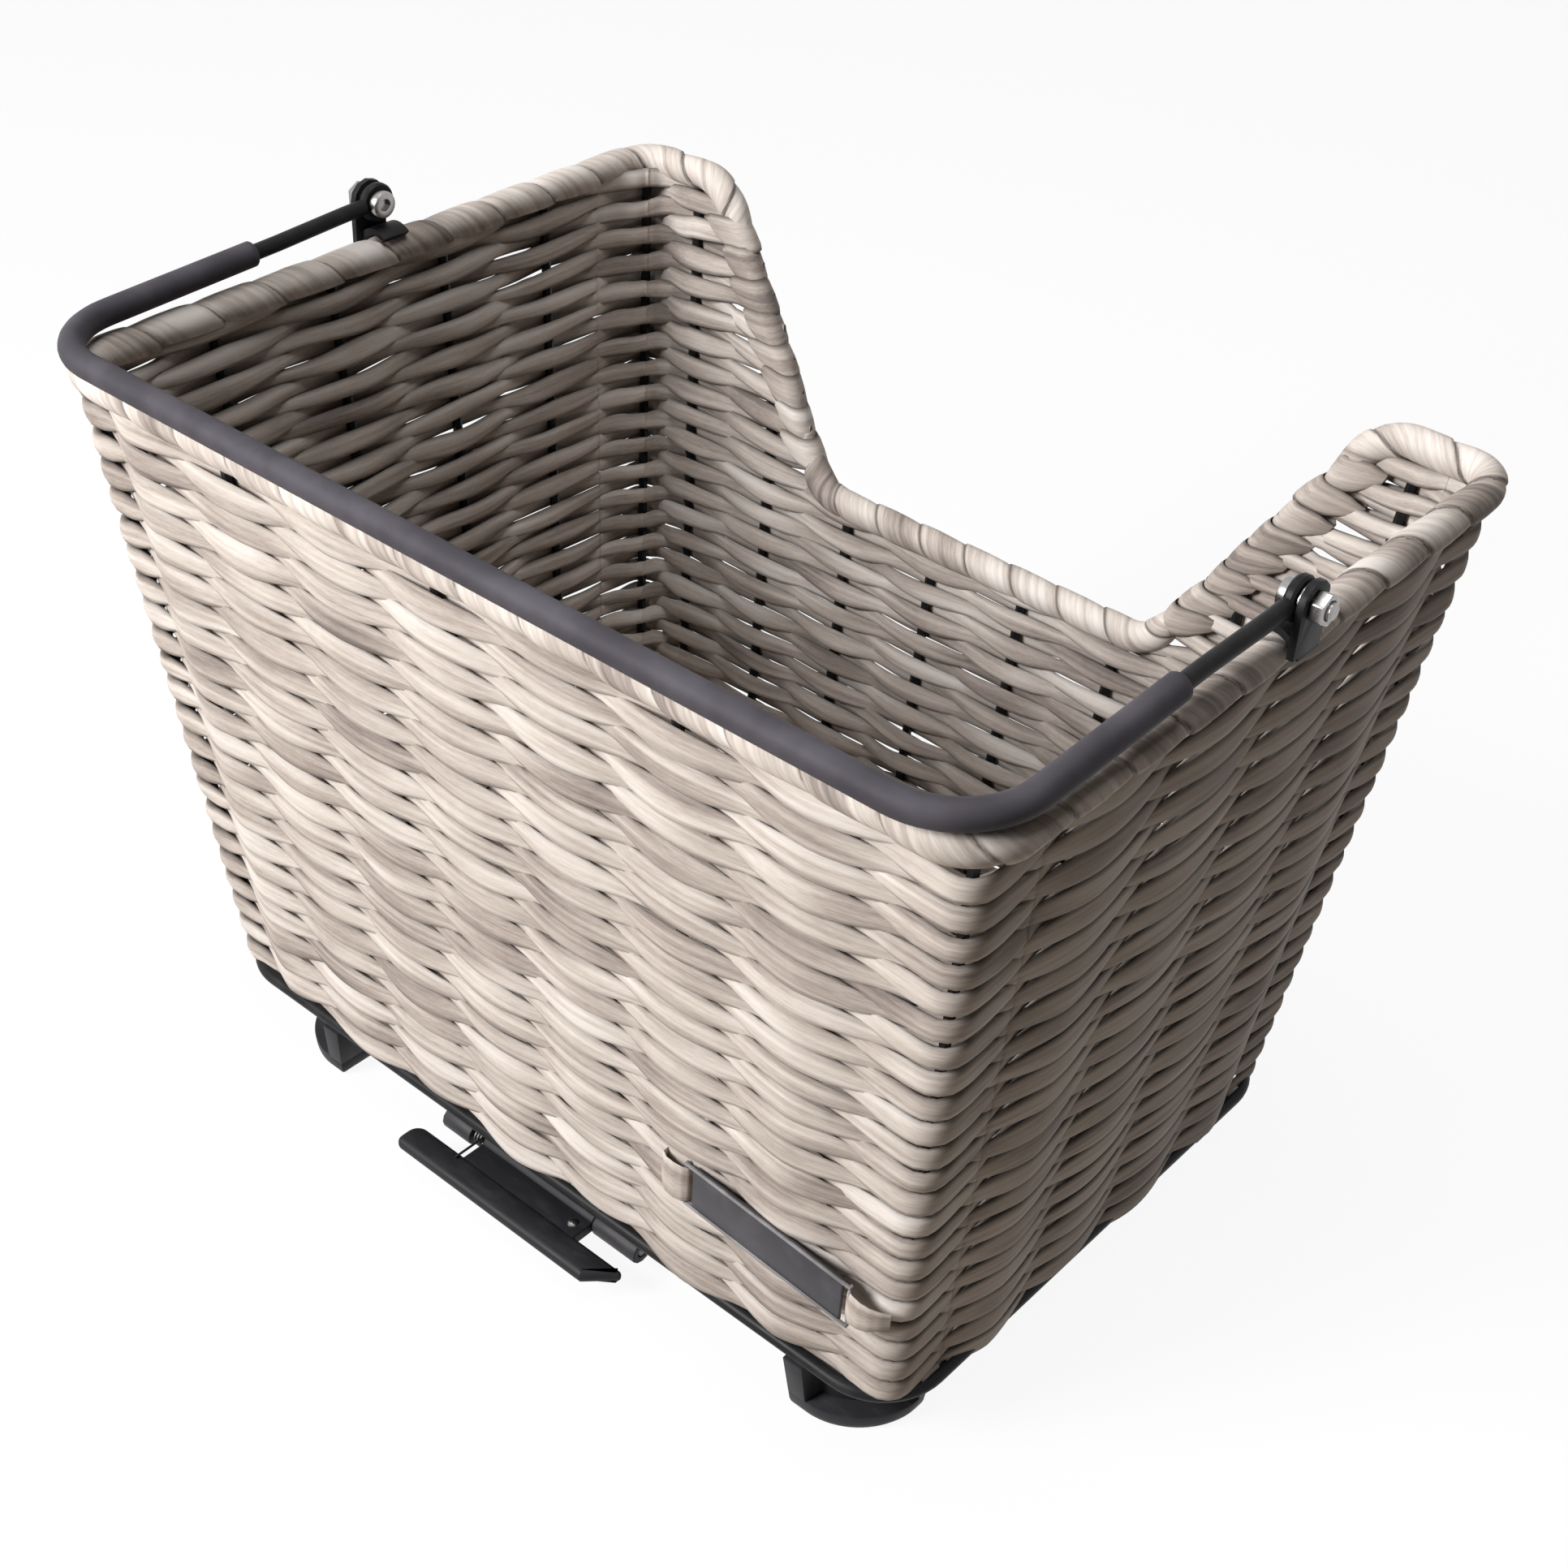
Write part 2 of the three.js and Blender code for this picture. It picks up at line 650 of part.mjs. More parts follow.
// Foot's body, narrower at the sole
function footBody(foot) {
  const points = footOutline();
  const middle = points.reduce((sum, p) => sum.add(p), new THREE.Vector2()).divideScalar(points.length);
  const ringAt = (scale, z) => {
    const flat = points.map((p) => p.clone().sub(middle).multiplyScalar(scale).add(middle));
    const placed = flat.map((p) => atCorner(foot, p.x, p.y));
    const turned = foot.sx * foot.sy > 0 ? placed : placed.reverse();
    return turned.map((p) => vec(p.x, p.y, z));
  };
  return loft(ringAt(FOOT_TAPER, 0), ringAt(1, UNDER_BASE));
}

for (const [name, foot] of Object.entries(FEET)) {
  const pocketPlan = pocketOutline().map((p) => atCorner(foot, p.x, p.y));
  const pocket = raised(pocketPlan, FOOT_SILL, UNDER_BASE + PAST);
  const { x, y } = footScrewAt(foot);
  const low = UNDER_BASE - FOOT_SCREW_BITE;
  const seat = FLOOR_TOP + GAP;
  const bore = post(FOOT_SCREW + 2 * GAP, x, y, [low - GAP, UNDER_BASE + PAST]);
  place(`foot_${name}`, cut(solid(footBody(foot)), pocket, bore), 'grey');
  const shank = post(FOOT_SCREW, x, y, [low, seat + SCREW_HEAD_HEIGHT / 2]);
  const head = post(FOOT_SCREW_HEAD, x, y, [seat, seat + SCREW_HEAD_HEIGHT]);
  place(`foot_screw_${name}`, join(head, shank), 'steel');
}

// Woven floor, with channels for the floor wires and holes for the screws
function floorWeave() {
  const outline = ring(0, -HOOP_WIRE / 2 - GAP).map((p) => new THREE.Vector2(p.x, p.y));
  const slab = raised(outline, FLOOR_UNDER, FLOOR_TOP);
  const channels = floorX.map((x) => floorWire(x, FLOOR_WIRE + 2 * GAP, PAST));
  const through = [FLOOR_UNDER - PAST, FLOOR_TOP + PAST];
  const footHoles = Object.values(FEET).map((foot) => {
    const { x, y } = footScrewAt(foot);
    return post(FOOT_SCREW + 2 * GAP, x, y, through);
  });
  const adapterHoles = CLAMP_Y.flatMap((y) =>
    SCREW_X.map((x) => post(ADAPTER_SCREW + 2 * GAP, x, y, through)));
  return cut(solid(slab), ...channels, ...footHoles, ...adapterHoles);
}

place('floor_weave', floorWeave(), 'tape');

// Clamp strips on the floor, and the screws that hold the adapter to them
CLAMP_Y.forEach((y, row) => {
  const strip = block(
    [-ADAPTER_WIDTH / 2, ADAPTER_WIDTH / 2],
    [y - CLAMP_DEPTH / 2, y + CLAMP_DEPTH / 2],
    [FLOOR_TOP + GAP, CLAMP_TOP],
  );
  const through = [FLOOR_TOP - PAST, CLAMP_TOP + PAST];
  const holes = SCREW_X.map((x) => post(ADAPTER_SCREW + 2 * GAP, x, y, through));
  place(`clamp_strip_${row === 0 ? 'front' : 'back'}`, cut(solid(strip), ...holes), 'black');
  SCREW_X.forEach((x, column) => {
    const seat = CLAMP_TOP + GAP;
    const head = post(ADAPTER_SCREW_HEAD, x, y, [seat, seat + SCREW_HEAD_HEIGHT]);
    const shank = post(ADAPTER_SCREW, x, y, [UNDER_BASE - ADAPTER_SCREW_BITE, seat + SCREW_HEAD_HEIGHT / 2]);
    place(`adapter_screw_${row * 2 + column + 1}`, join(head, shank), 'steel');
  });
});

// Adapter: plate under the floor, side rails, a hook at the back, and knuckles for the lever's pin
const KNUCKLE_X = {
  left: [-ADAPTER_WIDTH / 2, -NECK / 2 - SPRING_SPACE],
  right: [NECK / 2 + GAP, ADAPTER_WIDTH / 2],
};

function adapterBody() {
  const half = ADAPTER_WIDTH / 2;
  const across = [-half, half];
  const railTop = PLATE_UNDER + LAP;
  const railLow = PLATE_UNDER - RAIL_DEEP;
  const railY = [ADAPTER_FRONT + RAIL_SETBACK, ADAPTER_BACK];
  const stopFront = ADAPTER_BACK - STOP_THICK;
  const rails = [-1, 1].map((side) => block(spanX(side, half - RAIL, half), railY, [railLow, railTop]));
  const stop = block(across, [stopFront, ADAPTER_BACK], [railLow, railTop]);
  const hook = block(across, [stopFront - HOOK, ADAPTER_BACK], [railLow, railLow + HOOK_THICK]);
  const pieces = [...rails, stop, hook];
  for (const x of Object.values(KNUCKLE_X)) {
    const root = ADAPTER_FRONT + KNUCKLE_ROOT;
    pieces.push(barrel(KNUCKLE, x, PIN_Y, PIN_Z));
    pieces.push(block(x, [PIN_Y, root], [PIN_Z, PIN_Z + KNUCKLE_ARM]));
    pieces.push(block(x, [ADAPTER_FRONT, root], [PIN_Z, railTop]));
  }
  const plate = block(across, [ADAPTER_FRONT, ADAPTER_BACK], [PLATE_UNDER, UNDER_BASE]);
  const pinBore = barrel(PIN + 2 * GAP, [-half - PAST, half + PAST], PIN_Y, PIN_Z);
  const screwLow = UNDER_BASE - ADAPTER_SCREW_BITE - GAP;
  const screwBores = CLAMP_Y.flatMap((y) =>
    SCREW_X.map((x) => post(ADAPTER_SCREW + 2 * GAP, x, y, [screwLow, UNDER_BASE + PAST])));
  return cut(join(plate, ...pieces), pinBore, ...screwBores);
}

place('adapter_body', adapterBody(), 'black');

const STUD_Y = PIN_Y - STUD_FORWARD;

// Release lever: finger bar with one bevelled end, neck, barrel on the pin, and latch nose
function releaseLever() {
  const bar = raised(
    [
      new THREE.Vector2(-LEVER_BAR / 2, PIN_Y - BAR_REACH),
      new THREE.Vector2(LEVER_BAR / 2 - BAR_DEPTH, PIN_Y - BAR_REACH),
      new THREE.Vector2(LEVER_BAR / 2, PIN_Y - BAR_REACH + BAR_DEPTH),
      new THREE.Vector2(-LEVER_BAR / 2, PIN_Y - BAR_REACH + BAR_DEPTH),
    ],
    PIN_Z - BAR_THICK / 2,
    PIN_Z + BAR_THICK / 2,
  );
  const neckX = [-NECK / 2, NECK / 2];
  const neckY = [PIN_Y - BAR_REACH + BAR_DEPTH / 2, PIN_Y];
  const neck = block(neckX, neckY, [PIN_Z - NECK_THICK / 2, PIN_Z + NECK_THICK / 2]);
  const tailX = [-TAIL / 2, TAIL / 2];
  const tailZ = [PIN_Z - TAIL_THICK / 2, PIN_Z + TAIL_THICK / 2];
  const tail = block(tailX, [PIN_Y, PIN_Y + TAIL_REACH], tailZ);
  const noseY = [PIN_Y + TAIL_REACH - NOSE_THICK, PIN_Y + TAIL_REACH];
  const nose = block(tailX, noseY, [tailZ[0], tailZ[1] + NOSE_RISE]);
  const body = join(barrel(BARREL, neckX, PIN_Y, PIN_Z), neck, bar, tail, nose);
  const pinBore = barrel(PIN + 2 * GAP, [-LEVER_BAR, LEVER_BAR], PIN_Y, PIN_Z);
  const studBore = post(STUD + 2 * GAP, STUD_X, STUD_Y, [PIN_Z - BAR_THICK, PIN_Z + BAR_THICK]);
  return cut(body, pinBore, studBore);
}

place('release_lever', releaseLever(), 'black');
const studSeat = PIN_Z + NECK_THICK / 2 + GAP;
const studHead = post(STUD_HEAD, STUD_X, STUD_Y, [studSeat, studSeat + STUD_RISE]);
const studShank = post(STUD, STUD_X, STUD_Y, [PIN_Z - NECK_THICK / 2, studSeat + STUD_RISE / 2]);
place('lever_stud', join(studHead, studShank), 'steel');
place('lever_pin', barrel(PIN, [-ADAPTER_WIDTH / 2, ADAPTER_WIDTH / 2], PIN_Y, PIN_Z), 'steel');

// Torsion spring round the pin, with a leg under the adapter's plate and a leg on the lever's bar
function springPoints() {
  const radius = SPRING_COIL / 2;
  const length = SPRING_TURNS * SPRING_PITCH;
  const start = -NECK / 2 - SPRING_SPACE / 2 - length / 2;
  const steps = Math.round(SPRING_TURNS * SPRING_STEPS);
  const points = [];
  for (let k = 0; k <= steps; k += 1) {
    const turn = k / SPRING_STEPS;
    const angle = turn * 2 * Math.PI;
    const x = start + turn * SPRING_PITCH;
    points.push(vec(x, PIN_Y - radius * Math.sin(angle), PIN_Z + radius * Math.cos(angle)));
  }
  const [first] = points;
  const last = points[points.length - 1];
  const underPlate = vec(first.x, ADAPTER_FRONT + SPRING_LEG, PLATE_UNDER - GAP - SPRING_WIRE / 2);
  const onBar = vec(last.x, PIN_Y - BAR_REACH + BAR_DEPTH - SPRING_LEG, last.z);
  return [underPlate, ...points, onBar];
}

// Least gap of a coil to itself, between points at least half a turn apart
function leastGap(points, wire, apart) {
  let least = Infinity;
  points.forEach((p, i) => {
    points.slice(i + apart).forEach((q) => {
      least = Math.min(least, p.distanceTo(q) - wire);
    });
  });
  return least;
}

const SPRING_POINTS = springPoints();
const springGap = leastGap(SPRING_POINTS, SPRING_WIRE, SPRING_STEPS / 2);
console.log(`lever_spring least gap to itself ${springGap.toFixed(2)} mm`);
place('lever_spring', tube(SPRING_POINTS, SPRING_WIRE, SPRING_SIDES), 'steel');

// Handle, lying forward with its arms on the rim's front corners
const handleZ = (y) => mix(PIVOT_Z, BAR_Z, -y / HANDLE_REACH);
const armPoint = (side, x, y) => vec(side * x, y, handleZ(y));

function handleCorners(start) {
  const bar = (side) => ({ p: armPoint(side, ARM_X, -HANDLE_REACH), r: HANDLE_BEND });
  const left = start(-1);
  const right = start(1);
  return [...left, bar(-1), bar(1), ...right.reverse()];
}

function rodCorners() {
  return handleCorners((side) => [
    { p: armPoint(side, EYE_X, -EYE / 2 + LAP) },
    { p: armPoint(side, EYE_X, -SPLAY_START), r: SPLAY_BEND },
    { p: armPoint(side, ARM_X, -SPLAY_END), r: SPLAY_BEND },
  ]);
}

function handleRod() {
  const eye = (side) => {
    const span = [side * EYE_X - EYE_THICK / 2, side * EYE_X + EYE_THICK / 2];
    return barrel(EYE, span, 0, PIVOT_Z);
  };
  const reach = RIM_LENGTH;
  const bore = barrel(BOLT + 2 * GAP, [-reach, reach], 0, PIVOT_Z);
  return cut(join(tube(rounded(rodCorners()), ROD, ROD_SIDES), eye(-1), eye(1)), bore);
}

place('handle_rod', handleRod(), 'wire');
const gripCorners = handleCorners((side) => [{ p: armPoint(side, ARM_X, -GRIP_START) }]);
place('handle_grip', tube(rounded(gripCorners), GRIP, ROD_SIDES, ROD + 2 * GAP), 'foam');

// Outline in Y and Z between two places along X
function acrossX(outline, [from, to]) {
  const shape = new THREE.Shape(outline);
  const geometry = new THREE.ExtrudeGeometry(shape, { depth: to - from, bevelEnabled: false });
  const turn = new THREE.Matrix4().makeBasis(vec(0, 1, 0), vec(0, 0, 1), vec(1, 0, 0));
  return geometry.applyMatrix4(turn).translate(from, 0, 0);
}

// Outline in X and Z between two places along Y
function acrossY(outline, [from, to]) {
  const shape = new THREE.Shape(outline);
  const geometry = new THREE.ExtrudeGeometry(shape, { depth: to - from, bevelEnabled: false });
  return geometry.rotateX(Math.PI / 2).translate(0, to, 0);
}

// Points of an arc about a centre
function arc(centre, radius, from, to, steps) {
  const points = [];
  for (let k = 0; k <= steps; k += 1) {
    const angle = mix(from, to, k / steps);
    const spoke = new THREE.Vector2(Math.cos(angle), Math.sin(angle)).multiplyScalar(radius);
    points.push(spoke.add(centre));
  }
  return points;
}

// Lug plate with a flared foot and a round eye, its sides tangent to the eye
function lugOutline() {
  const half = LUG_BASE / 2;
  const low = RIM_Z + LUG_LOW;
  const rise = PIVOT_Z - low;
  const radius = LUG_EYE / 2;
  const from = Math.acos(radius / Math.hypot(half, rise)) - Math.atan2(rise, half);
  const eye = arc(new THREE.Vector2(0, PIVOT_Z), radius, from, Math.PI - from, ROUND_SIDES / 2);
  return [new THREE.Vector2(-half, low), new THREE.Vector2(half, low), ...eye];
}

// Saddle that the lug sits on, bent over the bound rim
function saddleOutline(side) {
  const inner = BINDING / 2 + GAP;
  const from = rad(SADDLE_START);
  const to = rad(SADDLE_START + SADDLE_SWEEP);
  const centre = new THREE.Vector2(RIM_LENGTH / 2, RIM_Z);
  const under = arc(centre, inner, from, to, ROUND_SIDES);
  const over = arc(centre, inner + LUG_THICK, from, to, ROUND_SIDES);
  return [...under, ...over.reverse()].map((p) => new THREE.Vector2(side * p.x, p.y));
}

for (const [name, side] of [['left', -1], ['right', 1]]) {
  const pivot = (diameter, a, b, sides) => barrel(diameter, spanX(side, a, b), 0, PIVOT_Z, sides);
  const bore = pivot(BOLT + 2 * GAP, 0, RIM_LENGTH);
  const saddleY = [SADDLE_BACK - SADDLE_LENGTH / 2, SADDLE_BACK + SADDLE_LENGTH / 2];
  const saddle = acrossY(saddleOutline(side), saddleY);
  const plate = acrossX(lugOutline(), spanX(side, LUG_INNER, LUG_OUTER));
  place(`handle_lug_${name}`, cut(join(plate, saddle), bore), 'wire');

  const headInner = HEAD_OUTER - BOLT_HEAD_HEIGHT;
  const head = pivot(BOLT_HEAD, headInner, HEAD_OUTER);
  const shank = pivot(BOLT, headInner + BOLT_HEAD_HEIGHT / 2, BOLT_TIP);
  const socket = pivot(SOCKET, headInner - PAST, headInner + SOCKET_DEEP, HEX_SIDES);
  place(`pivot_bolt_${name}`, cut(join(head, shank), socket), 'steel');

  const washer = pivot(WASHER, WASHER_INNER, WASHER_INNER + WASHER_THICK);
  place(`pivot_washer_${name}`, cut(solid(washer), bore), 'steel');

  const nut = pivot(NUT, LUG_OUTER + GAP, LUG_OUTER + GAP + NUT_THICK, HEX_SIDES);
  place(`pivot_nut_${name}`, cut(solid(nut), bore), 'steel');
}

// Badge plate, flat on the sloping front wall
const frontLean = Math.atan2(RIM_DEPTH / 2 + BASE_FRONT, WALL_RISE);
const badgeSeat = new THREE.Group();
badgeSeat.position.set(BADGE_X, mix(BASE_FRONT, -RIM_DEPTH / 2, BADGE_RISE / WALL_RISE), BASE_Z + BADGE_RISE);
badgeSeat.rotation.x = frontLean;
basket.add(badgeSeat);
const badgeShape = new THREE.BoxGeometry(BADGE_LENGTH, BADGE_THICK, BADGE_HEIGHT);
const badge = place('badge_plate', badgeShape, 'badge', badgeSeat);
badge.position.y = -(WALL / 2) * Math.cos(frontLean) - GAP - BADGE_THICK / 2;
badge.rotation.y = rad(BADGE_TILT);

// The origin lies under the middle of the whole, from the handle's bar to the back rim
basket.position.y = (HANDLE_REACH + GRIP / 2 - RIM_DEPTH / 2 - BINDING / 2) / 2;

export default basket;
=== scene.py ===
"""Bicycle basket woven of flat tape on a wire frame: its looks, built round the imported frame."""

from __future__ import annotations

import contextlib
import enum
import json
import logging
import math
from dataclasses import dataclass, field
from typing import Any, Iterator, Sequence, Union

import bmesh
import bpy
import numpy as np
from mathutils import Matrix, Vector

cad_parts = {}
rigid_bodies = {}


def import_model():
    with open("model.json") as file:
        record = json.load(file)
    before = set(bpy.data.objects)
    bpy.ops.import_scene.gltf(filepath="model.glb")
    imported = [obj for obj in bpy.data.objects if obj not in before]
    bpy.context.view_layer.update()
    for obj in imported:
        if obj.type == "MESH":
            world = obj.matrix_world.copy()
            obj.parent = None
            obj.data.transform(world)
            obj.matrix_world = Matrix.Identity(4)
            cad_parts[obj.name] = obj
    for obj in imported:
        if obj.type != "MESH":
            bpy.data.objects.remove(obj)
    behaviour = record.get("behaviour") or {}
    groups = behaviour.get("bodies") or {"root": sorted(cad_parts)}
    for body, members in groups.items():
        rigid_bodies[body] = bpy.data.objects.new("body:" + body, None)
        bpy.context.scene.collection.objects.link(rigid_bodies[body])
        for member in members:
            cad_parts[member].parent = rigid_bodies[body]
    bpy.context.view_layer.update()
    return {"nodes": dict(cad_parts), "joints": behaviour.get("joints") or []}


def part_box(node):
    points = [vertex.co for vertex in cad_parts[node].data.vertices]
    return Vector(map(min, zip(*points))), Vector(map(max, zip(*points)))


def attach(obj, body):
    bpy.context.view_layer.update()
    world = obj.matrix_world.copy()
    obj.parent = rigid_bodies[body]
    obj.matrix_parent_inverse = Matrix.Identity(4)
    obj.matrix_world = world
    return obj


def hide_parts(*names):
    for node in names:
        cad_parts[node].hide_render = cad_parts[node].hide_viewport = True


LOG = logging.getLogger("basket")
VECTOR = "FLOAT_VECTOR"
MM = 0.001
NO_BEND = -9.0
NO_TUCK = 99.0
DIAGONAL = math.sqrt(0.5)
NOISE_MIDDLE = 0.5
CREASE = 40.0
MERGE = 0.001 * MM
POLE = 0.02 * MM
STEEP = 0.2
Piece = bpy.types.Object
Finish = bpy.types.Material
Pair = tuple[float, float]
Triple = tuple[float, float, float]
Line = tuple[Pair, ...]
Array = np.ndarray
Value = Union["Term", float, int, Sequence[float], Any]


@dataclass(frozen=True)
class Term:
    """A node's output that takes part in arithmetic."""

    graph: Graph
    socket: bpy.types.NodeSocket

    @property
    def is_vector(self) -> bool:
        """Whether the output holds a vector."""
        return self.socket.type == "VECTOR"

    def __add__(self, other: Value) -> Term:
        """Sum."""
        return self.graph.arithmetic("ADD", self, other)

    def __radd__(self, other: Value) -> Term:
        """Sum, from the right."""
        return self.graph.arithmetic("ADD", other, self)

    def __sub__(self, other: Value) -> Term:
        """Difference."""
        return self.graph.arithmetic("SUBTRACT", self, other)

    def __rsub__(self, other: Value) -> Term:
        """Difference, from the right."""
        return self.graph.arithmetic("SUBTRACT", other, self)

    def __mul__(self, other: Value) -> Term:
        """Product, or a vector scaled by a number."""
        return self.graph.arithmetic("MULTIPLY", self, other)

    def __rmul__(self, other: Value) -> Term:
        """Product, from the right."""
        return self.graph.arithmetic("MULTIPLY", self, other)

    def __truediv__(self, other: Value) -> Term:
        """Quotient."""
        return self.graph.arithmetic("DIVIDE", self, other)

    def __pow__(self, other: Value) -> Term:
        """Power."""
        return self.graph.arithmetic("POWER", self, other)

    def call(self, operation: str, *others: Value) -> Term:
        """Any other Math operation, such as COSINE or FLOOR."""
        return self.graph.arithmetic(operation, self, *others)


class Graph:
    """A node tree in which each node is one call and sums are written as expressions."""

    def __init__(self, tree: bpy.types.NodeTree) -> None:
        """Wraps a tree."""
        self.tree = tree

    def feed(self, socket: bpy.types.NodeSocket, value: Value) -> None:
        """Links a term to a socket, or sets the socket's own value.

        Args:
            socket: The socket.
            value: The term, or the plain value.
        """
        if isinstance(value, Term):
            self.tree.links.new(value.socket, socket)
        else:
            socket.default_value = value

    def add(self, kind: str, settings: dict[str, Any] | None = None,
            sockets: dict[Any, Value] | None = None, output: int | str = 0) -> Term:
        """Adds one node.

        Args:
            kind: The node's type.
            settings: The node's own settings, set first; stops are a ramp's places and colours.
            sockets: Values or terms for the node's inputs, by name or number.
            output: The output to return, by name or number.

        Returns:
            The chosen output.
        """
        node = self.tree.nodes.new(kind)
        for name, value in (settings or {}).items():
            if name == "stops":
                self.set_stops(node.color_ramp, value)
            else:
                setattr(node, name, value)
        for key, value in (sockets or {}).items():
            self.feed(node.inputs[key], value)
        return Term(self, node.outputs[output])

    @staticmethod
    def set_stops(ramp: bpy.types.ColorRamp, stops: Sequence[tuple[float, Triple]]) -> None:
        """Gives a ramp its places and colours.

        Args:
            ramp: The ramp.
            stops: Each stop's place and colour.
        """
        while len(ramp.elements) < len(stops):
            ramp.elements.new(1.0)
        for element, (place, colour) in zip(ramp.elements, stops):
            element.position = place
            element.color = (*colour, 1.0)

    def arithmetic(self, operation: str, *values: Value) -> Term:
        """Adds a Math or Vector Math node, whichever the values need.

        Args:
            operation: The node's operation.
            values: Terms or numbers for its inputs, in order.

        Returns:
            The result.
        """
        vectors = [v for v in values if isinstance(v, Term) and v.is_vector]
        if not vectors:
            return self.add("ShaderNodeMath", {"operation": operation}, dict(enumerate(values)))
        numbers = [v for v in values if v not in vectors and np.ndim(v) == 0]
        if operation == "MULTIPLY" and numbers:
            return self.add("ShaderNodeVectorMath", {"operation": "SCALE"},
                            {"Vector": vectors[0], "Scale": numbers[0]})
        return self.add("ShaderNodeVectorMath", {"operation": operation}, dict(enumerate(values)))

    def mix(self, share: Value, first: Value, second: Value) -> Term:
        """Colour between two others."""
        return self.add("ShaderNodeMix", {"data_type": "RGBA"}, {0: share, 6: first, 7: second}, 2)

    def combine(self, x: Value, y: Value, z: Value) -> Term:
        """Vector from three numbers."""
        return self.add("ShaderNodeCombineXYZ", None, {0: x, 1: y, 2: z})

    def part(self, vector: Term, axis: int) -> Term:
        """One number of a vector."""
        return self.add("ShaderNodeSeparateXYZ", None, {0: vector}, axis)

    def noise(self, place: Term, scale: float, detail: float = 2.0) -> Term:
        """Soft noise about 0.5 at a place."""
        return self.add("ShaderNodeTexNoise", None,
                        {"Vector": place, "Scale": scale, "Detail": detail}, "Fac")

    def wander(self, place: Term, detail: float = 1.0) -> Term:
        """Soft noise about 0 at a place."""
        return self.noise(place, 1.0, detail) - NOISE_MIDDLE

    def ramp(self, share: Term, stops: Sequence[tuple[float, Triple]]) -> Term:
        """Colour of a ramp."""
        return self.add("ShaderNodeValToRGB", {"stops": stops}, {"Fac": share})

    def between(self, value: Term, low: float, high: float) -> Term:
        """Smooth step from 0 at low to 1 at high."""
        return self.add("ShaderNodeMapRange", {"interpolation_type": "SMOOTHSTEP"},
                        {0: value, 1: low, 2: high, 3: 0.0, 4: 1.0})


class Surface(Graph):
    """A material's node tree."""

    def __init__(self, name: str) -> None:
        """Makes an empty material.

        Args:
            name: The material's name.
        """
        self.material = bpy.data.materials.new(name)
        self.material.use_nodes = True
        super().__init__(self.material.node_tree)
        self.tree.nodes.clear()

    def place(self) -> Term:
        """Object coordinates."""
        return self.add("ShaderNodeTexCoord", None, None, "Object")

    def bump(self, height: Term, strength: float, distance: float) -> Term:
        """Normal of a bumpy surface."""
        return self.add("ShaderNodeBump", None,
                        {"Height": height, "Strength": strength, "Distance": distance}, "Normal")

    def finish(self, sockets: dict[str, Value]) -> Finish:
        """Ends the tree in a Principled shader, and gives the material."""
        self.add_output(self.add("ShaderNodeBsdfPrincipled", None, sockets))
        return self.material

    def add_output(self, shader: Term) -> None:
        """Links a shader to the material's output."""
        output = self.tree.nodes.new("ShaderNodeOutputMaterial")
        self.tree.links.new(shader.socket, output.inputs["Surface"])


def seen(graph: Graph) -> Term:
    """Share of light that shows the background, straight or by way of a mirror or glass.

    Args:
        graph: The tree that asks.

    Returns:
        1 for such rays, and 0 for all others.
    """
    path = graph.add("ShaderNodeLightPath", None, None, "Is Camera Ray")
    outputs = path.socket.node.outputs
    mirrored = Term(graph, outputs["Is Glossy Ray"])
    through = Term(graph, outputs["Is Transmission Ray"])
    return path.call("MAXIMUM", mirrored).call("MAXIMUM", through)


class Socket(enum.Enum):
    """Kinds of input that a recipe takes."""

    NUMBER = "NodeSocketFloat"
    COUNT = "NodeSocketInt"
    THING = "NodeSocketObject"
    FINISH = "NodeSocketMaterial"

    @classmethod
    def of(cls, sample: float | int | Finish) -> Socket:
        """Kind of input that takes a value like the sample."""
        plain = {float: cls.NUMBER, int: cls.COUNT}
        return plain.get(type(sample), cls.FINISH)


